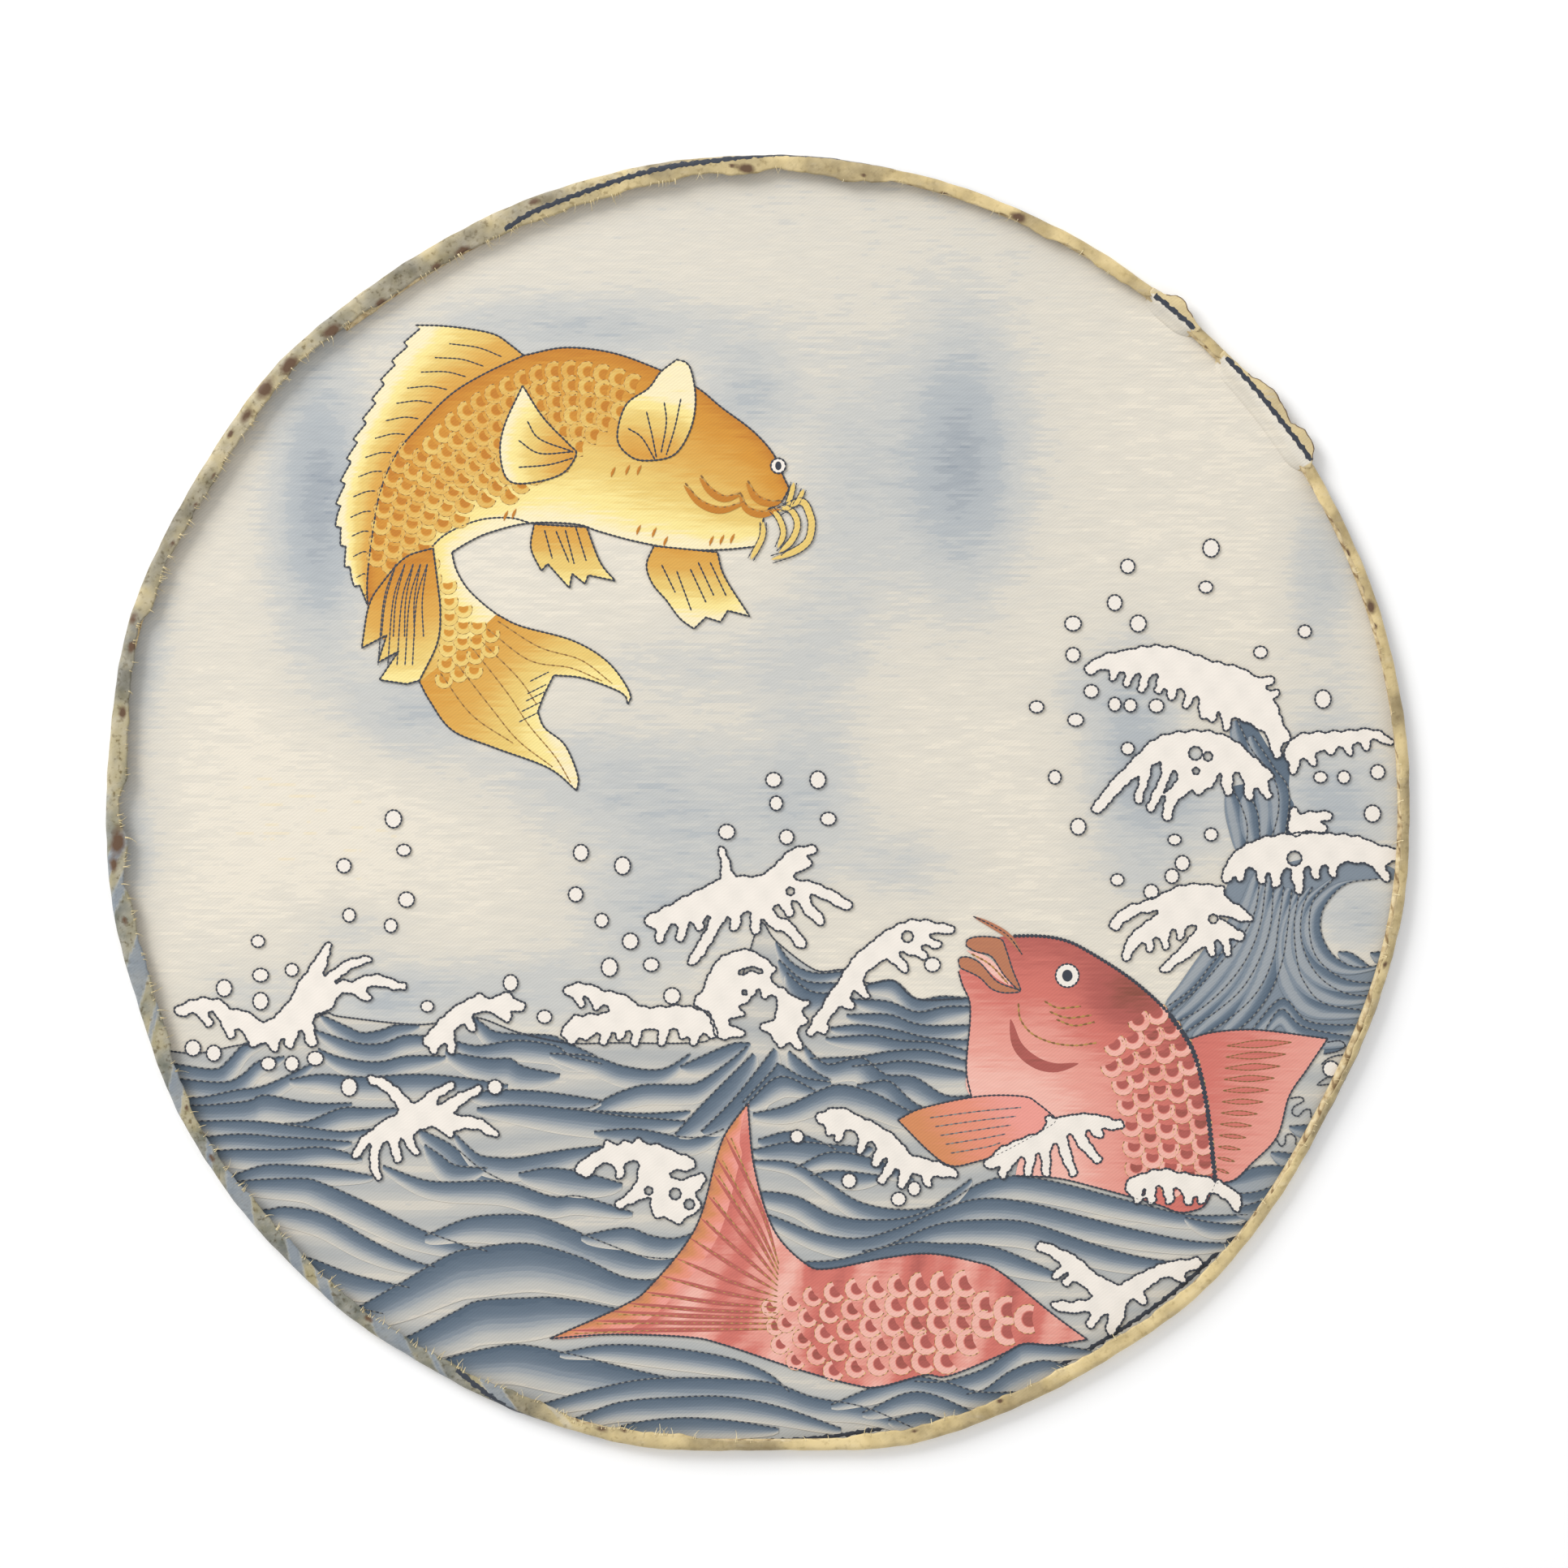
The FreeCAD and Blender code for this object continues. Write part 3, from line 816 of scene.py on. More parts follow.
# Its falls, from the breaking crests down, given like the crests
FALLS = (
    (1.5, (111.5, -28.5), (113.6, -28.6), (115.6, -29.8), (117.4, -31.3)),
    (1.2, (117.6, -28.7), (119.7, -28.5), (121, -29)),
    (1.5, (92.6, -24), (90, -27.5), (87, -31), (83.5, -35.5), (78.6, -39)),
    (3.5, (92, 16), (95, 10), (99, 5), (100, -1), (98, -9)), (3, (95, 13), (99, 7), (102, 2), (101, -8)),
    (2.5, (91, 3), (93, -1), (94, -5), (93.5, -10)), (2.5, (94, 2), (96, -2), (96.5, -9)),
    (3, (96.5, -13.5), (95.5, -20.5), (93, -25.5), (89, -30.5), (84, -36), (78.5, -40.5)),
    (3, (97.5, -15.5), (96.5, -23), (94, -29.5), (90, -35), (85, -39.5), (80.5, -42)),
    (3, (99, -14), (98.5, -23), (96.5, -29.5), (93, -35.5), (88, -40), (82, -44)),
    (3, (101, -16), (100, -23), (99, -29.5), (96, -36), (91, -41), (84, -45.5)),
    (3, (102.5, -16.5), (101.5, -25.5), (100.5, -31), (98, -37), (94, -42), (89, -45.5)),
    (3.5, (104, -17), (103, -23), (103.5, -30), (105, -34.5), (109, -38.5), (119, -40)),
    (3.5, (106.5, -16), (104.5, -20.5), (104.5, -27), (107.5, -33), (113, -36.5), (120, -37)),
    (3, (110.5, -14.5), (106.5, -19), (106, -25.5), (108, -30.5), (113.5, -34), (122, -34.5)),
    (2.5, *HOLLOW_EDGE),
    (3, (94, -44.5), (100.5, -37.5), (105, -41.5), (110, -42.5), (117, -42.5)),
    (2.5, (97, -44), (100.5, -39.5), (105, -43), (115.5, -45)),
    (2, (102, -62), (107.5, -61.5), (111, -61)), (2, (98.5, -67), (101, -67), (106, -68)),
    (4, (88, -73), (93.5, -70.5), (98, -69.5), (104, -70)), (3, (90, -75), (96, -74.5), (102, -72)),
    (2.5, (91, -78), (96, -76.5), (100, -75)),
)
# Small curls of foam between the sail fin and the rim, drawn in thread alone
CURLS = (
    ((109.3, -45.9), (111.8, -45.6), (112.8, -46.6), (111.4, -47.6), (108.6, -48.2)),
    ((108.2, -50.2), (109.4, -49.1), (111.4, -48.4), (113.6, -48.3)),
    ((112, -51.8), (109.4, -52.6), (107.4, -54.1), (109.2, -54), (111.4, -53.9)),
    ((102.2, -56.7), (104.2, -56.4), (104.8, -57.2), (102.9, -58.3), (102.6, -59.6), (103.8, -60.1),
     (104.8, -59), (106, -58.8), (106.2, -60.4)),
    ((99.6, -64.6), (100.4, -65.9), (101.3, -65.2), (101.3, -63.9), (102.4, -63.5), (103.3, -64.3),
     (103.2, -65.6)),
)
SEA_TOP = (
    (-117, -47), (-108, -48), (-100, -46.5), (-92, -45.5), (-83.5, -40.5), (-80, -41), (-65, -42.5),
    (-55, -41), (-46, -44), (-36.5, -46), (-27, -46), (-13, -46), (-8.5, -44.5), (-4, -36), (-0.5, -25),
    (1, -23), (3.5, -26.5), (11, -32), (16.5, -32), (21, -34.5), (26, -34), (30.5, -37.5), (39.5, -37.5),
    (78.5, -40.5),
)
# Tones of the water from a crest down, and from a fall's edge inward
TONES = (0.0, 0.10, 0.30, 0.55, 0.80, 0.97)
FALL_TONES = (0.02, 0.12, 0.52, 0.62, 0.36)
WAVE_TONE = 0.38          # the great wave between its falls
SHADOW_TONE = 0.12


def make_sea():
    """Bands of water under each crest, from the far waves to the near ones, with a stitched line on each."""
    water = Weave("sea_water", WATER)
    crests = Weave("sea_crest_threads", INK, threads=True)
    around = [math.radians(a) for a in range(-22, -158, -2)]
    shore = [(RIM_RADIUS * math.cos(a), RIM_RADIUS * math.sin(a)) for a in around]
    water.area(corners(SEA_TOP, shore), lambda x, y: 0.84 + 0.12 * np.sin(y * 0.9 + 2 * np.sin(x * 0.07)))
    water.area(corners(CREST_SHADOW), SHADOW_TONE, lift=0.001)
    water.area(corners(*GREAT_WAVE), WAVE_TONE, lift=0.002)
    water.area(corners(CURLS[0][-1:] + CURLS[0]), SHADOW_TONE, lift=0.003)
    crests.stitch(CURLS, (0.05,), width=0.34, pitch=0.7)
    for order, (depth, *points) in enumerate(CRESTS + FALLS):
        tones = TONES if order < len(CRESTS) else FALL_TONES
        water.band(points, depth + 1.2, tones, 0.004 + 0.0015 * order)
        crests.thread(curve(points), (0.05, 0.5), width=0.30, pitch=0.62, height=0.03)
    crests.thread(curve(SEA_TOP[:-1]), (0.05,), width=0.36, pitch=0.8)
    water.build()
    crests.build()


make_sea()

# ---- The gold carp ----------------------------------------------------------------------------------

GOLD_BACK = ((6, 60.5), (5, 62.5), (3, 67), (-1, 71.5), (-7, 76), (-12, 80), (-19.5, 83.5), (-28, 86.5),
             (-37, 87.5), (-45, 86))
GOLD_SPINE = ((-45, 86), (-52.5, 82.5), (-59, 78.5), (-65, 72.5), (-69.5, 67), (-72.5, 60), (-74, 52),
              (-75, 43.5), (-75, 38))
GOLD_TAIL_ROOT = ((-65, 23.3), (-58, 29), (-50.2, 36.3))
GOLD_WAIST = ((-50.2, 36.3), (-53, 38.5), (-56, 41.5), (-58, 45), (-58.8, 48.2))
GOLD_BELLY = ((-58.8, 48.2), (-55.5, 50.2), (-51.5, 52), (-44, 53.8), (-35, 53.6), (-30.5, 52.2),
              (-23.5, 50.3), (-15, 48.8), (-7, 48.7), (0.3, 49.4))
GOLD_FACE = ((0.3, 49.4), (0.8, 52.5), (1.5, 56), (4.4, 57.8), (6, 60.5))
GOLD_CREASE = ((-44, 53.9), (-47.5, 54.8), (-52.5, 54.6), (-57, 53.2), (-60.5, 51.3), (-62.6, 49.3))
GOLD_CREST_TOP = ((-65.8, 91.8), (-61, 91.7), (-55.5, 91.1), (-50.5, 90), (-47.5, 88), (-45, 86))
GOLD_CREST_EDGE = ((-65.8, 91.8), (-71.3, 83.5), (-75.7, 74.5), (-79, 66.5), (-81.3, 56), (-80.3, 49.5),
                   (-78.8, 43.7), (-75, 38))
GOLD_LEAF = ((-45.2, 80.2), (-41.2, 74), (-36, 68.6), (-34.9, 67), (-37.6, 63.3), (-43.8, 61.5),
             (-48, 62.1), (-49.5, 67), (-48.7, 72.5), (-45.2, 80.2))
GOLD_EAR = ((-15.6, 85.2), (-13.2, 84), (-12, 78), (-12.9, 72), (-16, 67), (-21, 65.8), (-24.5, 66.6),
            (-27, 70), (-25.4, 76.4), (-21, 79.7), (-18.7, 82.8), (-15.6, 85.2))
GOLD_FIN_A = (((-32.9, 53), (-30.3, 46.3), (-27.4, 42.7)), ((-27.4, 42.7), (-32.6, 43.8)),
              ((-32.6, 43.8), (-33.2, 42.1)), ((-33.2, 42.1), (-35.7, 44.1)),
              ((-35.7, 44.1), (-36.2, 41.3)), ((-36.2, 41.3), (-40.4, 46)), ((-40.4, 46), (-41.6, 44.6)),
              ((-41.6, 44.6), (-43.6, 49), (-43, 53.6)))
GOLD_FIN_B = (((-7.8, 48.2), (-6.4, 43.5), (-1.6, 35.9)), ((-1.6, 35.9), (-5.8, 37)),
              ((-5.8, 37), (-7.2, 34.8)), ((-7.2, 34.8), (-10, 35.7)), ((-10, 35.7), (-12.3, 33.5)),
              ((-12.3, 33.5), (-15, 35.5), (-17.6, 39)),
              ((-17.6, 39), (-20.3, 42.2), (-21.4, 45.8), (-20, 49.4)))
GOLD_SWEEP = (((-62.4, 49), (-61.5, 42), (-61, 36.6), (-61.6, 30.7), (-65, 23.6)),
              ((-65, 23.6), (-67.4, 22.9)), ((-67.4, 22.9), (-72.7, 23.7)), ((-72.7, 23.7), (-69, 29.2)),
              ((-69, 29.2), (-73, 27)), ((-73, 27), (-71.3, 32.3)), ((-71.3, 32.3), (-76.1, 29.8)),
              ((-76.1, 29.8), (-74.7, 38), (-72, 42.5), (-67.7, 47.2), (-62.4, 49)))
GOLD_TAIL = (((-50.2, 36.3), (-45.5, 34), (-35.5, 31.2), (-28.7, 27), (-24.6, 21.2), (-25, 19)),
             ((-25, 19), (-26.2, 21.2), (-33.5, 24), (-39.2, 24.6)),
             ((-39.2, 24.6), (-41, 21), (-42.3, 17.6)),
             ((-42.3, 17.6), (-41, 14.5), (-37.1, 11.2), (-34.6, 5.3), (-34.8, 2.4)),
             ((-34.8, 2.4), (-40.3, 6.8), (-50.7, 10.7), (-58.7, 14), (-63, 19.6), (-65, 23.3)))
GOLD_FLANK = ((-22, 82), (-30, 84.5), (-44, 84), (-58, 77.5), (-69, 66), (-73.5, 54), (-74.5, 45),
              (-67, 46), (-62, 51), (-55, 56), (-47, 58.5), (-39, 63), (-32, 69), (-25, 75))
GOLD_STEM = ((-64, 47), (-61, 47), (-60.2, 43.6), (-57.8, 39.8), (-54.6, 37), (-50, 33), (-52, 27),
             (-57, 22.5), (-63, 24), (-62, 30), (-61, 37))
GILLS = (((-14, 61.5), (-11, 58.2), (-7, 56.8), (-2.5, 58)),
         ((-11, 63), (-9, 60.5), (-6.4, 59), (-3.3, 59.6)), ((-2, 62), (0, 59), (3, 58), (4.7, 58.4)),
         ((-3.3, 59.5), (-2, 57), (1, 56), (4.4, 57)))


SCALE_STEP = 0.0006       # how far each scale lies above the next one towards the tail, mm


def fish_scale(fill, edging, x, y, radius, heading, core, rim, lift):
    """One scale: a core at its root and a paler crescent towards the tail, tipped up over the next."""
    turn = np.radians(np.linspace(-115, 115, 11) + heading)
    tail_x, tail_y = math.cos(math.radians(heading)), math.sin(math.radians(heading))
    root_x, root_y = x - 0.25 * radius * tail_x, y - 0.25 * radius * tail_y
    places, heights, shades = [(root_x, root_y)], [0.0], [core]
    for reach, shade, height in ((0.50, core, 0.01), (0.62, rim, 0.02), (1.0, rim, 0.06)):
        for a in turn:
            places.append((root_x + (x - root_x) * reach + radius * reach * math.cos(a),
                           root_y + (y - root_y) * reach + radius * reach * math.sin(a)))
            heights.append(height * (0.4 + 0.6 * math.cos(a - math.radians(heading))))
            shades.append(shade)
    n = len(turn)
    faces = [(0, 1 + i, 2 + i) for i in range(n - 1)]
    for ring in range(2):
        for i in range(n - 1):
            a = 1 + ring * n + i
            faces.append((a, a + n, a + n + 1, a + 1))
    fill.add(places, lift + np.array(heights), shades, faces)
    edging.thread(np.array(places[-n:]), (0.15, 0.8), width=0.26, pitch=0.6, height=0.04, lift=lift)


def scale_rows(fill, edging, guide, inside, rows, row_gap, gap, radius, core, rim, flip=0):
    """Scales in rows beside a guide line that runs from the head to the tail, kept to one outline."""
    line = evenly(curve(guide), 0.5)
    across = side_of(line)
    outline = np.array(inside, float)
    for row in range(rows):
        path = evenly(line + across * (row_gap * (row + 0.5)), gap)
        ahead = side_of(path)
        for i in range(len(path) - 1, -1, -1):
            step = 0.5 * (row % 2)
            j = min(i + 1, len(path) - 1)
            x, y = path[i] * (1 - step) + path[j] * step
            if enclosed(outline, np.array([x]), np.array([y]))[0]:
                heading = math.degrees(math.atan2(ahead[i][0], -ahead[i][1])) + flip
                grow = radius(x) if callable(radius) else radius
                tone = rng.uniform(-0.05, 0.05)
                lift = SCALE_STEP * (len(path) - i)
                fish_scale(fill, edging, x, y, grow, heading, core + tone, rim + tone, lift)


def ringed(fill, edging, x, y, radius, shade, tall=1.0, edge=(0.0,)):
    """A small oval with a stitched edge."""
    a = np.linspace(0, 2 * math.pi, 17)[:-1]
    line = np.stack([x + radius * np.cos(a), y + radius * tall * np.sin(a)], axis=1)
    fill.area(line, shade, spacing=5)
    edging.thread(line, edge, width=0.42, pitch=0.8, closed=True)


def make_pupil(name, x, y, across, up):
    """The dark oval in an eye, from its centre and its two half widths."""
    pupil = Weave(name, INK)
    around = np.arange(0, 6.2, 0.8)
    pupil.area(curve([(x + across * math.cos(a), y + up * math.sin(a)) for a in around], True), 0.0)
    return pupil


def fading(root, low, high):
    """Shade that goes from low at a fin's root to high at FIN_REACH from it."""
    line = curve(root)
    return lambda x, y: np.clip(low + (high - low) * nearness(line, x, y) / FIN_REACH, 0, 1)


def build_all(*weaves):
    """Make the pieces, in the order given."""
    for weave in weaves:
        weave.build()


GOLD_EYE = (3.9, 64.8)
FIN_REACH = 13            # mm over which a gold fin's tone changes
# Each gold fin: its outline in runs, its root, and the tones at the root and away from it
GOLD_FINS = (
    ((GOLD_LEAF,), ((-36, 68), (-35.5, 66)), 0.25, 1.0),
    ((GOLD_EAR,), ((-24, 67), (-18, 66)), 0.3, 1.05),
    (GOLD_FIN_A, ((-43, 53.6), (-33, 53)), 0.30, 1.0),
    (GOLD_FIN_B, ((-20, 49.4), (-8, 48.2)), 0.30, 1.0),
    (GOLD_SWEEP, ((-70, 45), (-63, 48)), 0.05, 0.55),
)
GOLD_FIN_RAYS = (
    ((-44.3, 73.4), (-42, 70), (-35.5, 67.5)), ((-46, 69.7), (-42, 67.2), (-35.5, 67.5)),
    ((-46, 64.5), (-40.2, 65), (-35.5, 66.3)), ((-21.4, 75.2), (-20.3, 70.5), (-19.5, 66.4)),
    ((-18, 77), (-17.6, 73), (-18.6, 67.3)), ((-14.8, 77.7), (-16, 72), (-17.6, 66.9)),
    ((-25, 72), (-22.3, 70.2), (-19.8, 66)), ((-41, 52.5), (-39.5, 47)), ((-38.8, 52.3), (-36.3, 46.3)),
    ((-37, 52.5), (-35.3, 46)), ((-35, 53), (-33, 46.6)), ((-18.5, 45.8), (-15.9, 40.5)),
    ((-15.6, 44.6), (-12.8, 37)), ((-13, 45), (-10, 38.6)), ((-11.5, 46.3), (-8.5, 39.9)),
    ((-9.2, 46.3), (-6.1, 39.8)),
)
GOLD_TAIL_RAYS = (
    ((-50, 35), (-42, 30), (-34, 27.5), (-28, 23)), ((-52, 33.5), (-44, 27.5), (-36, 26), (-30, 23.5)),
    ((-53, 31), (-46, 24), (-42.5, 19)), ((-55, 30), (-48, 21), (-44, 15), (-39, 9), (-36, 4)),
    ((-58, 27), (-51, 18), (-46, 12), (-39.5, 7)), ((-61, 25), (-55, 17), (-47, 11.5)),
)
# Ends of the short dark strokes in the tail's notch, and of the dark flecks on belly and cheek
NOTCH_TIPS = ((-40.2, 25.2), (-40.7, 22.8), (-41, 21.4), (-41.8, 19.4), (-42.3, 17.4))
FLECKS = ((-27.4, 64.6), (-24.6, 65), (-22.4, 65), (-22.5, 53.5), (-19.5, 53), (-17.3, 51.3), (-8.5, 51.4),
          (-6.5, 51.6), (-4.5, 51.8), (-48, 56.2), (-46.4, 56.6))
# Barbels at the mouth, each with its width in mm
BARBELS = (
    (((5.5, 57), (6.3, 59), (6.9, 61.6)), 1.2), (((7, 57), (8, 58.6), (8.8, 60.3)), 1.1),
    (((4, 56), (8.3, 58), (10, 55.3), (10.3, 53), (9.5, 50.2), (6.7, 48.2), (2.6, 46.8)), 1.6),
    (((4.5, 57), (6.6, 56), (7.6, 53.5), (6.5, 50.5), (4, 48)), 1.4),
    (((2.5, 56.5), (3.9, 55), (4.9, 52), (3.8, 49)), 1.3), (((1, 54), (0.8, 51), (-1.4, 46.8)), 1.3),
)


def make_gold_carp():
    """The leaping carp: body, scales, fins and tail, each with its stitched outline."""
    body = Weave("gold_carp_body", GOLD)
    fins = Weave("gold_carp_fins", GOLD)
    scales = Weave("gold_carp_scales", GOLD)
    edging = Weave("gold_scale_threads", GILT, threads=True)
    ink = Weave("gold_carp_threads", INK, threads=True)
    low_ink = Weave("gold_carp_lower_threads", INK, threads=True)
    back, belly = curve(GOLD_BACK + GOLD_SPINE[1:]), curve(GOLD_WAIST + GOLD_BELLY[1:])
    body.area(corners(GOLD_BACK, GOLD_SPINE, ((-75, 38), (-71, 30), (-65, 23.3)), GOLD_TAIL_ROOT, GOLD_WAIST,
                      GOLD_BELLY, GOLD_FACE), between(back, belly, 0.02, 1.02, 0.9), spacing=1.2)
    spine, crest_edge = curve(GOLD_SPINE), curve(GOLD_CREST_EDGE)
    teeth = serrated(GOLD_CREST_EDGE, 14, 1.1)
    body.area(np.concatenate([curve(GOLD_CREST_TOP), spine[1:-1], teeth[::-1]]),
              between(spine, crest_edge, 0.35, 1.15), lift=-0.01, spacing=1.2)
    tail_end = curve(((-25, 19), (-40, 20), (-35, 3)))
    body.area(corners(*GOLD_TAIL, GOLD_TAIL_ROOT), between(curve(GOLD_TAIL_ROOT), tail_end, 0.28, 1.0, 1.4),
              lift=-0.005, spacing=1.2)
    scale_rows(scales, edging, GOLD_BACK[5:] + GOLD_SPINE[1:], GOLD_FLANK, 9, -2.9, 3.1, 1.9, 0.06, 0.56)
    scale_rows(scales, edging, ((-67, 47), (-66, 38), (-66.5, 28), (-67.5, 22)), GOLD_STEM, 8, -2.7, 3.0, 1.7,
               0.14, 0.70)
    low_ink.stitch((GOLD_BACK, GOLD_SPINE, GOLD_WAIST, GOLD_BELLY, GOLD_FACE, GOLD_CREASE, GOLD_CREST_TOP))
    low_ink.thread(teeth)
    low_ink.stitch(GOLD_TAIL)
    low_ink.fan(spine, crest_edge, 15, 0.12, 0.62,
                lambda a, b: low_ink.thread(curve((a, (a + b) / 2 + (0.5, 0.5), b)), width=0.3))
    edging.stitch(GOLD_TAIL_RAYS, (0.1, 0.5), width=0.3)
    for x, y in NOTCH_TIPS:
        low_ink.thread(np.array([(x - 3.6, y - 1.8), (x, y)]), width=0.3)
    for runs, root, low, high in GOLD_FINS:
        outline = corners(*runs)
        fins.area(outline, fading(root, low, high), spacing=1.0)
        ink.thread(outline, closed=True)
    ink.stitch(GOLD_FIN_RAYS, width=0.36)
    for x in (-69.5, -67.8, -66.2, -64.8, -63.5):
        for foot in ((x * 1.35 + 21.5, 32), (x * 1.1 + 3.5, 26.5)):
            ink.thread(curve(((x, 46), ((x + foot[0]) / 2 - 0.6, 39), foot)), (0.1,), width=0.32)
    for gill in GILLS:
        fins.ray([(x - 0.2, y - 0.5) for x, y in gill], 1.5, 0.02)
        edging.thread(curve(gill), (0.1, 0.6), width=0.4, lift=0.065)
    for x, y in FLECKS:
        fins.ray(((x, y), (x - 0.6, y - 1.2), (x - 0.8, y - 2)), 0.55, 0.0)
    for line, width in BARBELS:
        fins.ray(line, width, 0.72, lift=0.005)
        middle = evenly(curve(line), 0.6)
        for sign in (-1, 1):
            ink.thread(middle + side_of(middle) * (sign * width * 0.45), (0.05,), width=0.26)
    white = Weave("gold_carp_eye", WHITE)
    ringed(white, ink, *GOLD_EYE, 1.45, 0.95)
    pupil = make_pupil("gold_carp_pupil", *GOLD_EYE, 0.6, 0.85)
    build_all(body, scales, edging, low_ink, fins, ink, white, pupil)


# ---- The red carp -----------------------------------------------------------------------------------

RED_BACK = ((49, -25.5), (54, -25.5), (58.5, -26.2), (63, -28.2), (72, -34), (79, -40.5), (83.5, -47.5),
            (86, -57), (87.5, -69.5), (87.8, -73))
RED_HEM = ((87.8, -73), (86, -77), (83.5, -78.3), (80.5, -78.5), (76.5, -77), (65, -73.8), (57.5, -72),
           (49.5, -71.5))
RED_CHEST = ((49.5, -71.5), (50, -64), (41, -56.5), (40, -51), (40.7, -42), (40.6, -38), (39.3, -35),
             (38.5, -32.3))
RED_JAW = ((38.5, -32.3), (40.5, -30.6), (45, -31), (48.2, -32), (46.8, -28), (46, -25.9), (49, -25.5))
RED_FIN = (((83, -45.2), (86.7, -44.1), (92.5, -43.5), (98, -43.7), (109.4, -45.2)),
           ((109.4, -45.2), (105.5, -51), (102, -56.3), (99.7, -64), (94.7, -69.3), (91.5, -72.3),
            (88, -73)), ((88, -73), (87.2, -66), (86, -57), (83, -45.2)))
RED_ARM = (((26.8, -60.8), (31.7, -58.5), (42.4, -56.3), (51, -56.3), (53.8, -57.7), (57, -60.3)),
           ((57, -60.3), (56.8, -61.5), (47, -67), (41.3, -69), (37, -69.6), (33, -67), (26.8, -60.8)))
RED_FLANK = ((66.5, -46), (76, -38), (84, -46), (87, -58), (88, -72), (80, -75), (71, -72), (69.5, -60))
FLUKE = (((-2, -57.6), (-6, -63), (-8, -68), (-12, -81.5), (-20.5, -92.5), (-26, -96.5), (-40, -102.8)),
         ((-40, -102.8), (-28, -102), (-13.5, -102.5), (-6.5, -104), (7, -108.5), (18.5, -111.7),
          (23.5, -112), (32, -109.8), (36.5, -110), (46.5, -106), (51, -103.8), (56.5, -104), (63.3, -103)),
         ((63.3, -103), (56.5, -98), (46.5, -90), (41.5, -88), (33, -86.5), (24.5, -87.3), (13.5, -89.4),
          (9, -88.3), (3, -81.8), (-0.7, -70), (-2, -57.6)))


RED_EYE = (59.4, -33.1)
RED_LIPS = (
    ((40, -27.4), (40.2, -26.2), (42.5, -25.6), (46.5, -26), (47.6, -28), (48.9, -32), (50.4, -36),
     (47.4, -33.2), (44.8, -29.4), (41.8, -28.5), (40, -27.4)),
    ((38.8, -31.6), (38.5, -29.9), (40.2, -29.5), (42.8, -30.8), (46, -34.3), (50.4, -36), (47.4, -36.4),
     (44.8, -35.6), (42.5, -33.4), (38.8, -31.6)),
)
RED_MOUTH = ((40, -28.2), (42.8, -28.9), (45.2, -30.4), (48.6, -34.8), (45.8, -33.6), (42.6, -30.4),
             (40, -28.2))
RED_WHISKER = ((41.3, -21.7), (44.8, -23.4), (48.2, -25.6), (50.7, -29))
RED_GILLS = (
    ((50, -38.4), (50.4, -41.5), (52.7, -44.3), (56.6, -46), (61, -46.5), (65, -46)),
    ((55, -38), (57.7, -39.3), (62, -39)), ((56, -40), (59.4, -41.2), (64, -40.7)),
    ((57.3, -41.5), (60.7, -42.7), (64.6, -42)), ((41, -28.9), (44.6, -31), (48, -34.6)),
)


def red_head_shade(x, y):
    """Paler away from the back, with a dark patch behind the eye."""
    patch = np.exp(-((x - 70) ** 2 / 60 + (y + 38) ** 2 / 30))
    return np.clip(0.24 + 0.52 * nearness(curve(RED_BACK), x, y) / 24 - 0.25 * patch, 0.05, 0.86)


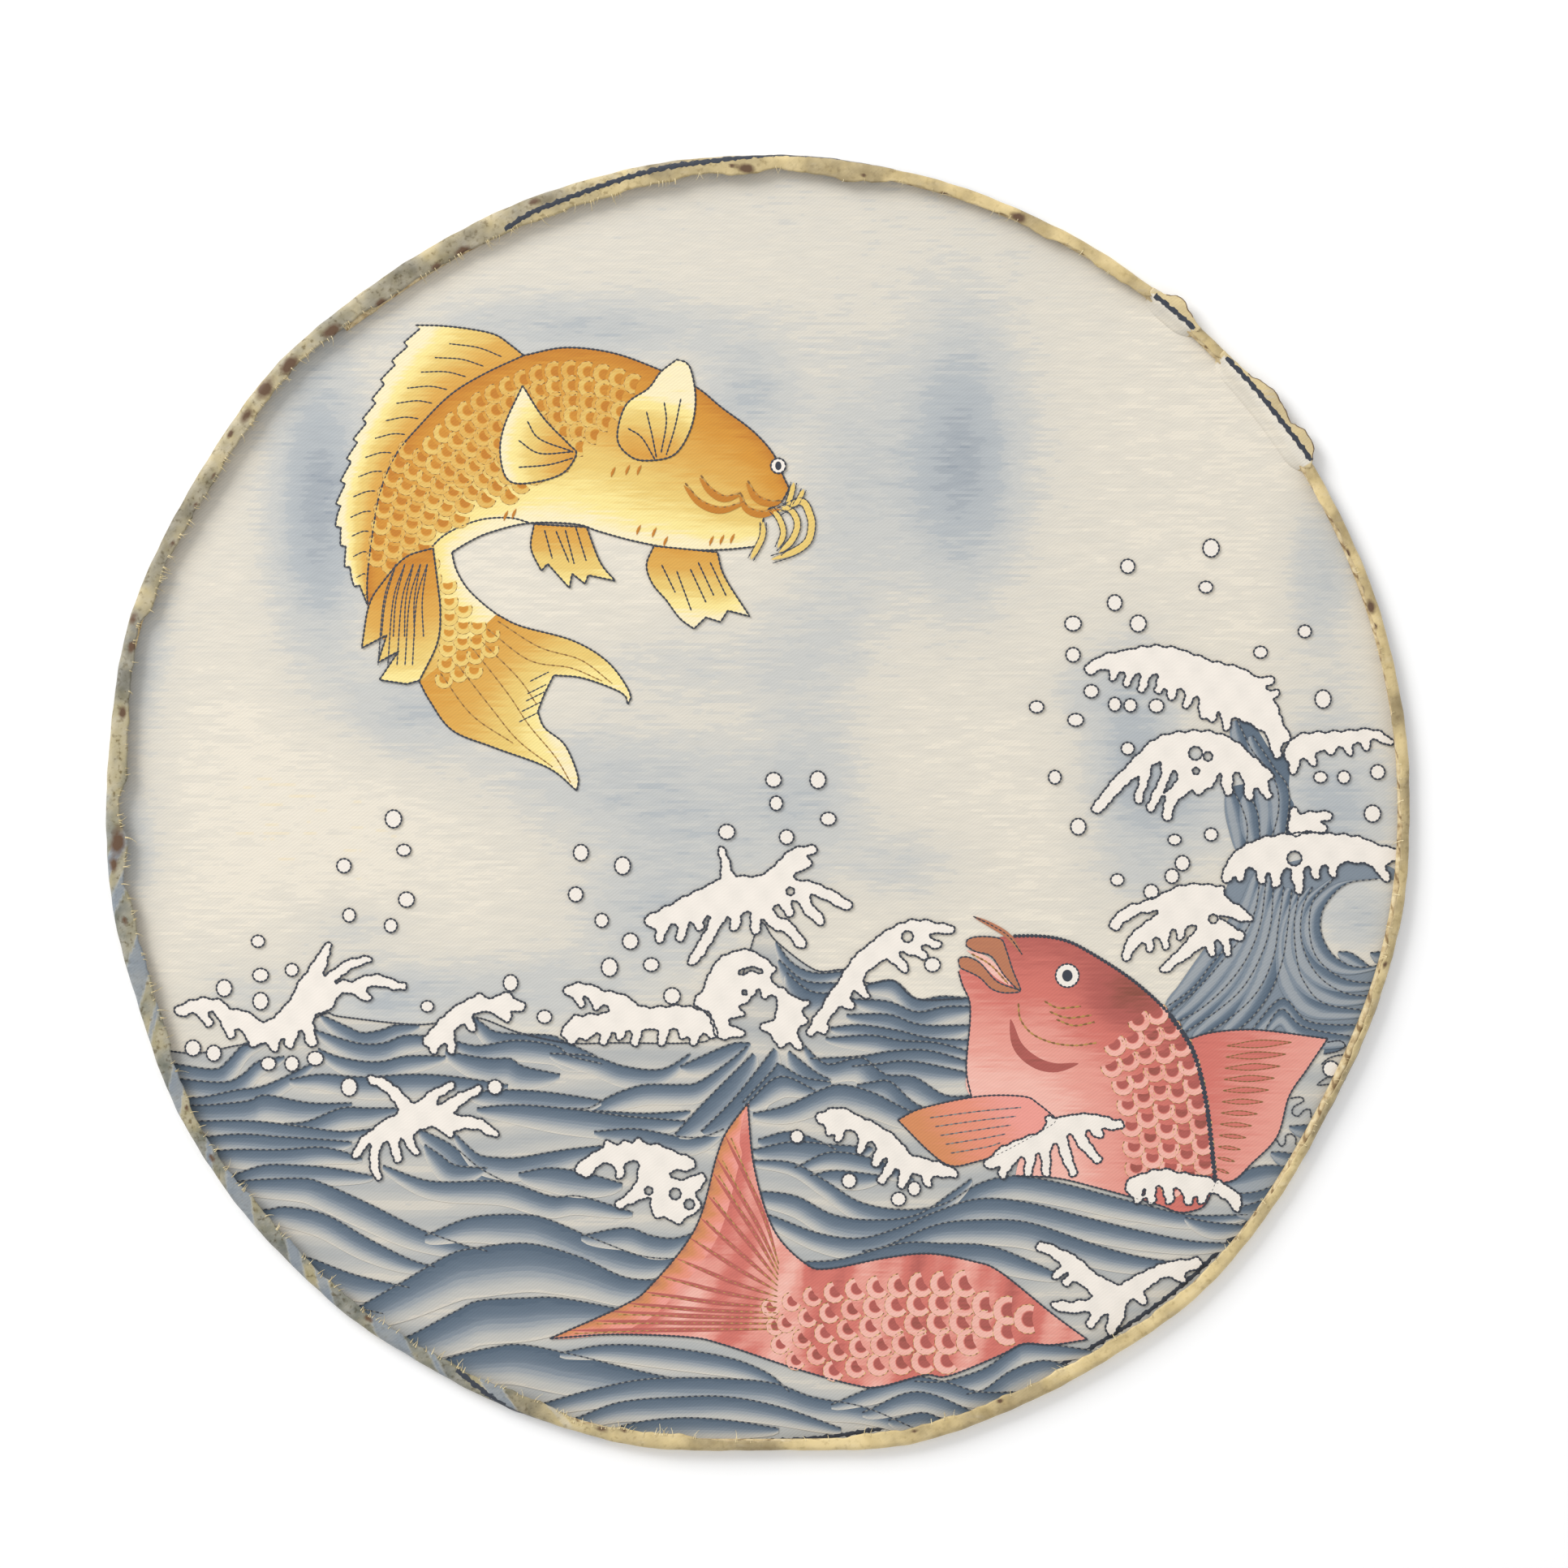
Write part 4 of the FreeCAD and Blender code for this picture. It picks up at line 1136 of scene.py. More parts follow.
def make_red_carp():
    """The second carp's head and shoulders, coming out of the waves at the right."""
    body = Weave("red_carp_body", CORAL)
    fins = Weave("red_carp_fins", CORAL)
    scales = Weave("red_carp_scales", CORAL)
    edging = Weave("red_scale_threads", GILT, threads=True)
    amber = Weave("red_carp_amber", AMBER)
    ink = Weave("red_carp_threads", INK, threads=True)
    body.area(corners(RED_BACK, RED_HEM, RED_CHEST, RED_JAW), red_head_shade, spacing=1.2)
    fins.area(corners(*RED_FIN), lambda x, y: np.clip(0.50 + (x - 86) / 85 - (y + 60) / 200, 0, 0.95),
              spacing=1.2)
    scale_rows(scales, edging, RED_BACK[4:], RED_FLANK, 7, 3.3, 3.9, 2.15, 0.16, 0.78, flip=-12)
    for t in np.arange(12) / 11:
        a, b = (90 - 2 * t, -46.6 - 23.6 * t), (102.5 - 12 * t, -45.9 - 25.2 * t)
        middle = ((a[0] + b[0]) / 2, (a[1] + b[1]) / 2)
        fins.ray((a, middle, b), 1.5 - 0.9 * t, 0.40, lift=0.004)
        for bow in (0.75 - 0.45 * t, 0.45 * t - 0.65):
            edging.thread(curve((a, (middle[0], middle[1] + bow), b)), (0.1,), width=0.26)
    amber.area(corners(*RED_ARM),
               lambda x, y: np.clip(0.15 + (58 + 1.2 * y + x) / 60 + 0.012 * (x - 30), 0, 1))
    for i in range(5):
        y = -59.6 - 1.7 * i
        ray = ((33 + i, y - 0.8), (42 + 0.5 * i, y + 0.4), (50.5 - i, y + 1.2))
        ink.thread(curve(ray), (0.2, 0.5), width=0.3)
    for line in RED_LIPS:
        amber.area(corners(line), 0.05)
        ink.thread(corners(line), (0.1,), closed=True, width=0.36)
    body.area(corners(RED_MOUTH), 0.9, lift=0.01)
    edging.stitch(RED_GILLS, (0.1, 0.5), width=0.4, lift=0.01)
    fins.ray(((48.5, -41.5), (49.8, -46.5), (53, -49.6), (57, -50.8), (61.5, -50)), 2.2, 0.16, lift=0.01)
    amber.ray(RED_WHISKER, 1.1, 0.05, lift=0.01)
    ink.thread(curve(RED_WHISKER), (0.05,), width=0.3, lift=0.03)
    ink.stitch((RED_HEM, RED_CHEST[2:], *RED_FIN[:2], *RED_ARM), width=0.4)
    ink.thread(curve(RED_BACK), width=0.75, pitch=0.8, height=0.1)
    ink.thread(curve(RED_BACK[5:]), width=1.1, pitch=0.9, height=0.11, lift=0.004)
    white = Weave("red_carp_eye", WHITE)
    ringed(white, ink, *RED_EYE, 2.25, 0.85, edge=(0.05,))
    pupil = make_pupil("red_carp_pupil", *RED_EYE, 1.0, 1.15)
    build_all(body, fins, scales, edging, amber, ink, white, pupil)


# Line that the tail's scales run along, and the area that they keep to
TAIL_GUIDE = ((64, -99), (52, -93), (42, -90.5), (24, -91), (12, -92.5), (2, -95))
TAIL_FLANK = ((3, -93), (12, -92.5), (24, -90.5), (33, -90), (41, -91.5), (45, -94), (50, -97),
              (54.5, -100), (54, -101.2), (44, -104), (36, -109.5), (27, -110.5), (18, -110.5), (8, -107.5),
              (1, -104))


def make_red_tail():
    """The tail that rises out of the near waves, with the scaled end of the body."""
    body = Weave("red_tail_body", CORAL)
    scales = Weave("red_tail_scales", CORAL)
    edging = Weave("red_tail_gilt_threads", GILT, threads=True)
    amber = Weave("red_tail_amber", AMBER)
    ink = Weave("red_tail_threads", INK, threads=True)
    left = curve(FLUKE[0])
    body.area(corners(*FLUKE), lambda x, y: np.clip(0.62 + 0.16 * np.sin(x * 0.35) - 0.10 * (x > 8)
                                                    + 0.10 * np.sin(nearness(left, x, y)), 0, 1), spacing=1.2)
    narrow = np.clip(np.hypot(*(left - left[-1]).T) / 14, 0, 1) ** 0.8
    inner = left - side_of(left) * (4.6 * narrow * np.clip(np.linspace(0, 6, len(left)), 0.1, 1))[:, None]
    strip = between(left, inner, 0.15, 1.0, 0.8)
    amber.area(np.concatenate([left, inner[::-1]]),
               lambda x, y: strip(x, y) + 0.18 * np.sin(y * 1.3 + x * 0.7))
    scale_rows(scales, edging, TAIL_GUIDE, TAIL_FLANK, 6, -3.7, 4.3,
               lambda x: (1.55 + 0.9 * min(1, max(0, (x - 4) / 45))) * 1.15, 0.16, 0.82, flip=28)
    for t in np.arange(13) / 12:
        root = (4 - 0.5 * t, -88.5 - 12.5 * t)
        tip = left[int((len(left) - 1) * (0.12 + 0.83 * t))]
        middle = ((root[0] + tip[0]) / 2 + 1.7 * (1 - t), (root[1] + tip[1]) / 2 - 1.6 * (1 - t))
        edging.thread(curve((root, middle, (tip[0] + 1.2, tip[1] - 0.6))), (0.2, 0.6), width=0.32)
        body.ray((root, middle, tip), 0.9, 0.28, lift=0.006)
    ink.stitch(FLUKE, (0.02,))
    build_all(body, scales, edging, amber, ink)


# ---- Foam and drops ---------------------------------------------------------------------------------

# Each foam is a set of strokes; each point of a stroke is x, y and its half width, in mm
FOAMS = {
    "foam_far_left": (
        ((-111, -40, 0.8), (-107.5, -38.7, 1), (-104, -38.9, 1), (-101.5, -41, 1.3), (-98, -42, 1.5),
         (-95, -45, 1)), ((-107, -40, 0.8), (-105.5, -42, 0.7)), ((-102, -42, 0.8), (-101.3, -44.3, 0.7)),
        ((-98, -43, 0.8), (-97, -46, 0.7)),
        ((-82.5, -27.3, 0.5), (-84.2, -31, 1), (-86, -35, 1.8), (-87.5, -39, 2.4), (-91, -42, 1.6),
         (-94.5, -43.5, 1.2)), ((-91.5, -42, 1), (-93, -46.8, 0.7)), ((-89, -42, 1.1), (-89.9, -46, 0.8)),
        ((-87, -41, 1.1), (-85.7, -45.8, 0.8)),
        ((-86, -37, 1), (-82.2, -33.8, 0.8), (-78.5, -31, 0.7), (-74.7, -30, 0.5)),
        ((-86.5, -39.5, 1), (-83, -38.5, 1), (-80.5, -35.5, 0.9), (-77.4, -35.2, 0.9), (-73.8, -34, 0.9),
         (-68.3, -35.2, 0.6)), ((-77, -35.5, 0.9), (-75, -37.4, 0.6)),
    ),
    "foam_left": (
        ((-45.5, -39, 0.8), (-49.5, -38.7, 0.9), (-53.2, -38.8, 1), (-56.2, -39.6, 1.2), (-59.2, -42, 1.4),
         (-63.5, -45.6, 0.8)), ((-50.5, -39, 0.8), (-48.2, -41.2, 0.6)),
        ((-56.5, -40.5, 0.9), (-54.9, -43.3, 0.6)), ((-60.5, -43, 0.8), (-62.2, -47.4, 0.6)),
        ((-59.5, -43, 0.8), (-58.7, -47.4, 0.6)), ((-55.5, -39.6, 0.8), (-53.5, -37, 0.5)),
        ((-51, -38.7, 0.8), (-48, -36.8, 0.5)),
    ),
    "foam_splash": (
        ((-74, -53, 0.7), (-70.7, -54.8, 0.9), (-67.8, -58, 1.2), (-66, -60.5, 1.4)),
        ((-58.8, -54.2, 0.6), (-62.2, -56, 0.8), (-65, -59.5, 1.3)),
        ((-53.7, -55, 0.6), (-57, -56.6, 0.8), (-61.5, -59.8, 1.4)),
        ((-71.5, -62, 0.9), (-67.7, -61.2, 1.5), (-63, -60.3, 1.6), (-58, -61.3, 1.2), (-54.3, -61.4, 0.9),
         (-50.7, -63.3, 0.7)), ((-61, -61, 0.9), (-59.4, -63.4, 0.6)),
        ((-71, -62, 0.9), (-75, -64.5, 0.8), (-77.4, -67.5, 0.6)),
        ((-70, -62.3, 0.9), (-73, -65.2, 0.8), (-73.8, -68.8, 0.7), (-73, -71.5, 0.6)),
        ((-68, -61.5, 0.9), (-69.8, -64.5, 0.8), (-69, -68.4, 0.6)),
        ((-65.5, -61, 0.9), (-67, -64, 0.8), (-65.8, -67, 0.6)),
    ),
    "foam_row": (
        ((-36.2, -36, 0.8), (-33.5, -35.7, 0.9), (-29, -37.5, 1.1), (-25.6, -38.2, 1.1), (-23.3, -40, 0.8)),
        ((-35, -36.5, 0.7), (-34, -38.3, 0.6)), ((-31.7, -36.6, 0.7), (-31, -38.8, 0.6)),
        ((-28, -37.8, 0.7), (-27, -39.7, 0.6)),
        ((-36.5, -44, 1), (-33.5, -42.7, 1.5), (-29, -42.2, 1.6), (-24, -41.4, 1.7), (-19, -41.2, 1.8),
         (-14.2, -41, 1.8), (-10.6, -42, 1.5), (-8.9, -44, 0.9)),
        *(((x, -42, 0.9), (x - 0.5, -45.2 - 0.8 * math.sin(x), 0.65)) for x in (-35, -32.5, -29, -26, -23,
                                                                                -18, -14, -11.8)),
    ),
    "foam_arch": (
        ((-10.9, -38, 1.2), (-8.6, -37.4, 1.9), (-7.6, -33.8, 1.8), (-5.6, -31, 1.7), (-2.3, -29.8, 1.4),
         (0.5, -30.5, 1), (2.8, -32, 0.6)),
        ((-6.7, -43.8, 1.2), (-7.4, -41, 1.4), (-6.2, -38, 1.4), (-4.5, -35.4, 1.3), (-1.7, -34, 1.2),
         (1, -34.2, 1.1), (3.2, -36, 0.7)), ((-5.3, -37.2, 0.9), (-2.7, -37.8, 0.6)),
        ((-6, -39.8, 0.9), (-3.4, -40.4, 0.6)), ((-6.5, -43.5, 0.9), (-3.4, -44.2, 0.6)),
        ((-1, -34.2, 0.8), (-1.2, -36.3, 0.6)), ((1, -34.5, 0.8), (1.4, -36.6, 0.6)),
        ((4.7, -36.3, 0.6), (5.5, -39.2, 1.5), (4, -41.8, 0.6)), ((5.5, -39, 1.3), (9.2, -38.5, 0.6)),
        ((5.8, -39.6, 1.2), (8.9, -41.8, 0.6)), ((1, -42.8, 0.6), (3.9, -43.4, 1.2), (6.8, -43.3, 0.7)),
        ((3.6, -43.6, 1), (4.4, -46.3, 0.6)), ((6, -43.8, 1), (7.8, -46.8, 0.6)),
    ),
    "foam_spray": (
        ((-7, -9, 0.5), (-6.2, -12, 0.7), (-5.8, -15, 1.3), (-5.5, -17.5, 2.2)),
        ((-20.6, -22.6, 0.9), (-15.6, -21, 1.7), (-10, -18.8, 2.3), (-4.5, -17.4, 2.8), (1, -17, 2.7),
         (4, -14.3, 1.9), (7.2, -10, 1.1), (10.6, -8.8, 0.5)), ((5.5, -12.5, 0.8), (9.4, -11.6, 0.7)),
        ((3.9, -15.8, 1.1), (9, -16.1, 1), (13.1, -17.4, 0.9), (17, -19.6, 0.8)),
        ((3, -16.6, 1), (8, -18, 0.9), (10, -20.5, 0.9), (12, -22.6, 0.7)),
        ((4, -17.5, 1), (6, -20.9, 0.7)),
        ((0.5, -18.5, 1), (2.5, -22.3, 1), (6, -24.2, 0.9), (8.3, -27, 0.8)),
        ((-0.3, -18.5, 1), (-0.6, -24.3, 0.7)), ((-4.4, -18.5, 1), (-4.4, -23.8, 0.7)),
        ((-6.5, -19.5, 1.1), (-8.4, -23.6, 0.9), (-10, -26.4, 1), (-12.5, -30.4, 0.7)),
        ((-18, -22, 0.9), (-19, -26, 0.7)), ((-14, -21, 0.9), (-14.8, -25.7, 0.7)),
        ((-11.4, -20, 0.9), (-11.3, -23.4, 0.7)),
    ),
    "foam_right_arm": (
        ((10.3, -43.8, 0.7), (12.2, -41.2, 1), (14.7, -38, 1.3), (17.2, -34.7, 1.5), (19.7, -31, 1.7),
         (23, -28.3, 1.8), (27.6, -24.8, 1.4), (31, -23.7, 1.1), (37.2, -24.3, 0.6)),
        ((29, -25, 1), (34.6, -27.2, 0.6)), ((27, -26.5, 1.1), (31.7, -29.2, 0.7)),
        ((25, -28, 1.1), (28, -31.6, 0.7)), ((18.5, -33.5, 1), (20.7, -37, 0.6)),
        ((16, -37, 1), (18, -39, 0.6)), ((12, -41.5, 0.8), (12.8, -43.4, 0.6)),
    ),
    "foam_middle": (
        ((-34, -70.2, 0.8), (-31, -68.4, 1.1), (-28, -67.2, 1.3), (-24, -67, 1.4), (-20, -67.6, 1.8),
         (-16.5, -68.6, 1.6), (-13, -69.3, 0.9)), ((-28.5, -67, 0.8), (-29, -65.4, 0.5)),
        ((-25.5, -67, 0.8), (-25.6, -65.5, 0.5)), ((-22.5, -67, 0.8), (-23, -65.1, 0.5)),
        ((-32, -69, 0.8), (-32.8, -71, 0.6)), ((-27, -68, 0.9), (-26.5, -71.5, 0.6)),
        ((-20, -68.5, 1.8), (-21.5, -73, 1.6), (-24, -75.4, 1), (-26.6, -77, 0.7)),
        ((-20.5, -71.5, 2), (-16.5, -74.5, 1.9), (-12.6, -73.2, 1.3), (-11, -72, 0.7)),
        ((-18, -74.5, 2), (-16, -78, 1.8), (-12.4, -77, 1.2)), ((-19, -76, 1.3), (-19.4, -78.8, 0.7)),
        ((-16, -78, 1), (-15.6, -80, 0.6)),
    ),
    "foam_centre": (
        ((12, -60.5, 0.8), (15.3, -59.8, 1.1), (18.3, -61.2, 1.3), (24.2, -64.3, 1.4), (26.2, -66.4, 1.5),
         (28.7, -69, 1.5), (34.6, -70.3, 1.1), (37.6, -71, 0.7)), ((13.7, -60.5, 0.8), (13.7, -62.9, 0.6)),
        ((16, -61, 0.9), (15.3, -64.4, 0.6)), ((21, -63, 0.9), (19.7, -66.5, 0.6)),
        ((24.5, -65.5, 0.9), (22.6, -69, 0.7)), ((26.5, -68, 0.9), (23.9, -72.3, 0.7)),
        ((28.7, -69.5, 0.9), (27.6, -73, 0.7)), ((32.5, -70.2, 0.9), (32.6, -73, 0.6)),
    ),
    "foam_under_arm": (
        ((44.5, -69.3, 0.8), (47.4, -67.4, 1.2), (50.9, -66, 1.4), (54.4, -65, 1.5), (56.9, -63, 1.5),
         (59.9, -61.6, 1.4), (64.3, -61.1, 1.1), (69.3, -61.8, 0.7)), ((49, -67, 0.9), (47, -71.2, 0.6)),
        ((52.5, -66, 0.9), (51.8, -71, 0.6)), ((55, -65, 0.9), (55.4, -71, 0.6)),
        ((58, -63.5, 1), (60.4, -71, 0.6)), ((61, -62, 1), (63, -66, 0.8), (65.4, -68.4, 0.6)),
        ((64, -61.5, 0.9), (65.6, -63.7, 0.6)), ((57, -62, 0.9), (56, -60.6, 0.5)),
    ),
    "foam_at_hem": (
        ((71.5, -73.8, 0.8), (74.3, -72.4, 1.1), (77.7, -71.8, 1.3), (81, -72.5, 1.3), (84.4, -73.2, 1.3),
         (87.8, -73.6, 1.1), (91.8, -76.2, 0.7)),
        *(((x, -73, 0.9), (x + 0.4, -76.3 - 0.6 * math.sin(x), 0.6)) for x in (72.5, 75.2, 78.6, 82.2,
                                                                               84.8)),
        ((91.3, -75.5, 0.7), (91.9, -77.8, 0.5)),
    ),
    "foam_lower_right": (
        ((54.4, -85.2, 0.7), (56.3, -85.8, 0.9), (61.3, -88.9, 1.2), (62.9, -90.8, 1.4), (65.4, -92.8, 1.6),
         (68.4, -94.8, 1.9)), ((60, -88.5, 0.8), (57.1, -90.7, 0.6)), ((61.5, -90, 0.8), (59.3, -92, 0.6)),
        ((57.1, -96.4, 0.7), (60.4, -96.8, 0.9), (64.3, -96.2, 1), (68, -95.6, 1.2)),
        ((67, -96, 1), (63.8, -99.9, 0.7)), ((68.5, -95.5, 1.2), (69, -98, 1.1), (67.8, -101, 0.8)),
        ((68.6, -95, 1.5), (73.5, -92.2, 1.4), (76.5, -90.2, 1.1), (79.7, -89.2, 1), (84.2, -88.4, 0.9)),
        ((79, -89.5, 0.8), (81.4, -91.5, 0.6)), ((72, -93.5, 1), (74, -95.5, 0.7)),
    ),
    "foam_great_crest": (
        ((63.7, 25.8, 0.9), (66.7, 27.2, 1.1), (70.7, 27.6, 1.5), (76.2, 27.8, 2.1), (81, 26.4, 2.6),
         (86, 23.8, 3.2), (91.5, 21.6, 3.8), (95.5, 18.5, 3), (98.8, 15, 1.8), (100, 12.5, 1)),
        ((69, 26.6, 0.7), (68.2, 24.2, 0.5)), ((72, 26, 0.7), (70.8, 22.8, 0.5)),
        ((75, 26, 0.8), (73.8, 22, 0.6)), ((78.5, 25.5, 0.8), (77, 21.8, 0.6)),
        ((81, 24.5, 0.8), (79.2, 20.6, 0.6)), ((83.5, 23.5, 0.8), (82.4, 19, 0.6)),
        ((86, 22, 0.8), (85.4, 17, 0.6)), ((90, 20, 1), (90, 14.8, 0.6)),
        ((88, 21, 0.8), (87.3, 16.5, 0.6)), ((94, 22.8, 0.9), (98.6, 23.6, 0.6)),
        ((95.5, 20.8, 0.9), (99.4, 20.9, 0.6)), ((96.5, 18.5, 0.9), (98.8, 18, 0.6)),
        ((99, 14.5, 0.9), (101.4, 12.8, 0.6)), ((99, 12.5, 0.9), (99.9, 9.3, 0.6)),
    ),
    "foam_great_middle": (
        ((65.2, -1, 0.8), (68.7, 3.3, 1), (72.7, 7, 1.2), (77.2, 10.5, 1.8), (81, 11.3, 2), (86, 11.3, 2.2),
         (90.4, 9.8, 2.2), (94, 7.3, 1.7), (98, 5.4, 0.7)),
        ((74.5, 7.5, 0.8), (74, 4, 0.7), (72.9, 0.6, 0.6)),
        ((79, 9, 0.9), (77.8, 4, 0.7), (75.2, -0.9, 0.6)),
        ((81.5, 9, 2), (82.4, 4.5, 1.5), (79.4, 0.8, 1), (78.4, -2.6, 0.7)),
        ((84.5, 7, 1.8), (84.6, 2.8, 0.9)), ((87.5, 8, 1.4), (86.6, 4, 0.9)),
        ((90, 7.5, 1.1), (90.2, 2.4, 0.7)), ((94, 6.5, 1), (94.4, 1.6, 0.7)),
        ((95, 6, 0.9), (98, 1.6, 0.6)),
    ),
    "foam_great_right": (
        ((102, 9.3, 0.8), (104.5, 11.4, 1.5), (109, 12, 1.4), (113.5, 12.6, 1.1), (117.9, 13.2, 0.8),
         (121.5, 11.8, 0.5)), ((103.2, 10, 1), (102.8, 6.4, 0.6)), ((105.6, 11, 1), (106.5, 7.9, 0.6)),
        ((109, 11.8, 0.8), (110, 9.8, 0.5)), ((112.5, 12.2, 0.8), (113.6, 9.8, 0.5)),
        ((116, 12.8, 0.7), (117, 10.8, 0.5)), ((102.9, -1.6, 0.6), (103.2, -4.6, 1.1)),
        ((103.2, -4.5, 1.1), (106, -2.8, 0.9), (109.6, -2.4, 0.6)), ((105, -4, 0.9), (108.4, -5, 0.6)),
    ),
    "foam_great_low": (
        ((89.8, -14.4, 0.7), (92.6, -11, 1.5), (97, -9.3, 2.2), (103, -8.9, 2.7), (109, -8.7, 2.5),
         (114, -8.8, 2.2), (119, -9.8, 1.6), (123, -10, 0.8)), ((93, -12, 0.8), (92.4, -14.5, 0.5)),
        ((96.4, -10.5, 1), (96.8, -14.8, 0.6)), ((99.4, -11, 1.1), (99.6, -15.4, 0.7)),
        ((103.4, -11, 1.2), (103.8, -16.8, 0.6)), ((107, -10, 1), (107, -14, 0.6)),
        ((110.5, -10, 1), (110.4, -13.4, 0.6)), ((118, -10.4, 1), (120.8, -14.3, 0.6)),
    ),
    "foam_great_left": (
        ((68.4, -23.4, 0.8), (71.2, -21, 0.9), (75.2, -19.6, 0.9), (79.2, -18.6, 1.5), (83, -17.4, 1.6),
         (88.6, -16.7, 0.7)),
        ((70.7, -29.4, 0.7), (72.2, -26.4, 0.9), (75.7, -24, 1.3), (80, -21.6, 2.1), (84, -20.2, 2.4),
         (89, -19.8, 1.5), (94.1, -22, 0.7)),
        ((78, -31.8, 0.7), (81.6, -29, 0.9), (85, -26, 1.3), (89, -24.4, 1.3), (92.8, -25.6, 0.6)),
        ((84.5, -21, 1.6), (87.5, -24, 1.4)), ((75, -24.5, 0.8), (75.2, -28, 0.5)),
        ((78.2, -23.5, 0.8), (78.2, -27.4, 0.5)), ((81.2, -22.5, 0.8), (81.2, -25.6, 0.5)),
        ((86.2, -26, 0.7), (87.2, -29, 0.5)), ((89.4, -25, 0.7), (90.2, -29, 0.5)),
    ),
}
# Round holes in the foam: centre x, y and radius in mm
HOLES = (
    (28.7, -25.6, 1.1), (6.2, -16.9, 0.8), (-15.9, -75, 1.1), (-13.2, -77, 1), (-21, -74.4, 0.8),
    (84, 9.6, 1.3), (86.4, 9, 0.9), (84.1, 6.2, 0.7), (103, -10.6, 1.4), (87.4, -22.2, 0.9),
)
# Centres of the loose drops in mm
DROPS = (
    (87, 49), (71, 45.5), (86, 41.5), (68.5, 38.5), (73, 34.5), (60.5, 34.5), (105, 33), (96.5, 29),
    (60.5, 28.5), (64, 21.5), (108.5, 20), (53.5, 18.5), (68.5, 19), (71.5, 18.8), (76.5, 18.7), (61, 16),
    (71, 10.5), (57, 5), (108, 5), (112.5, 5), (119, 6), (61.5, -4.5), (118, -2), (87, -6), (80, -7),
    (81.5, -11.5), (69, -14.7), (79.5, -14), (75.5, -17), (3, 4.5), (11.5, 4.5), (3.5, 0), (13.5, -3),
    (5.5, -6.5), (-6, -5.5), (-34, -9.5), (-26, -12), (-35, -17.5), (-30, -22.5), (-24.5, -26.5),
    (-20.5, -31), (-28.5, -31.5), (-16.5, -37), (33.5, -31), (-70, -3), (-68, -9), (-79.5, -12),
    (-67.5, -18.5), (-78.5, -21.5), (-70.5, -23.5), (-96, -26.5), (-95.5, -33), (-89.5, -32),
    (-102.5, -35.5), (-95.5, -38), (-47.5, -34.5), (-63.5, -39), (-41, -41), (-108.5, -47), (-104.5, -48),
    (-94, -50), (-89.5, -50), (-85, -49), (-78.5, -54.5), (-50.5, -54.5), (7.5, -64), (17.5, -72.5),
    (30, -74), (27, -76), (110, -51),
)


CELL = 0.3                # grid spacing in mm on which the foam's outline is found
BLEND = 2.6               # how sharply the strokes of a foam keep apart


def foam_loops(strokes):
    """Outlines round a set of strokes that run together like drops, less the holes, the longest first."""
    dots = [curve(stroke, step=0.35) for stroke in strokes]
    every = np.concatenate(dots)
    low, high = every[:, :2].min(0) - 4, every[:, :2].max(0) + 4
    gx, gy = np.meshgrid(np.arange(low[0], high[0], CELL), np.arange(low[1], high[1], CELL))
    total = np.zeros_like(gx)
    for line in dots:
        away = np.hypot(gx[..., None] - line[:, 0], gy[..., None] - line[:, 1]) - (0.12 + 1.13 * line[:, 2])
        total += np.exp(-BLEND * away.min(axis=2))
    lumps = 0.24 * np.sin(gx * 2.1 + 1.3 * np.sin(gy * 1.7)) * np.sin(gy * 1.9 + 0.7)
    field = -np.log(total + 1e-30) / BLEND + lumps
    for x, y, radius in HOLES:
        field = np.maximum(field, radius - np.hypot(gx - x, gy - y))
    loops = [evenly(line, 0.4, True) for line in contours(field, low, CELL) if len(line) > 12]
    return sorted(loops, key=lambda loop: -len(loop))


def make_foam():
    """White crests, each one outline round its strokes, and loose drops, all with a stitched edge."""
    edges = {}
    for order, (name, strokes) in enumerate(FOAMS.items()):
        group = "great_wave_foam_threads" if "great" in name else "foam_threads"
        ink = edges.setdefault(group, Weave(group, INK, threads=True))
        white = Weave(name, WHITE, FOAM_LIFT + 0.003 * order)
        loops = foam_loops(strokes)
        white.area(loops, lambda x, y: 0.85 + 0.1 * np.sin(x * 1.1) * np.sin(y * 0.8), spacing=1.3)
        for loop in loops:
            ink.thread(loop, width=0.46, pitch=0.8, closed=True)
        white.build()
    drops = Weave("spray_drops", WHITE)
    ink = Weave("spray_drop_threads", INK, threads=True)
    for x, y in DROPS:
        ringed(drops, ink, x, y, rng.uniform(1.2, 1.6), 0.8, tall=rng.uniform(0.8, 1.15))
    build_all(drops, ink, *edges.values())


make_gold_carp()
make_red_carp()
make_red_tail()
make_foam()

# ---- The turned-in edge -----------------------------------------------------------------------------

# Two places where the cloth was never turned in: it runs out over the hoop, to these radii in mm
FLAPS = {
    "scalloped_flap": (
        (31.3, 123.8), (31.9, 125.2), (32.6, 126.5), (33.3, 126.9), (34.3, 126.9), (35.2, 126.0),
        (35.5, 125.4),
        (36.7, 126.1), (38.6, 126.7), (40.0, 125.9), (41.0, 124.9), (42.5, 124.6), (44.2, 124.4),
    ),
    "ear_flap": (
        (47.0, 124.4), (47.7, 124.6), (48.6, 125.3), (49.9, 126.4), (50.4, 126.2), (51.0, 125.2),
        (51.6, 124.7),
        (52.6, 124.4),
    ),
}
FACE_TOP = CLOTH_T + BACK_ROOM
FLAP_FOOT = 120.6         # radius at which a flap leaves the face
FLAP_CREST = 123.2        # radius at which it has reached the top of the hoop


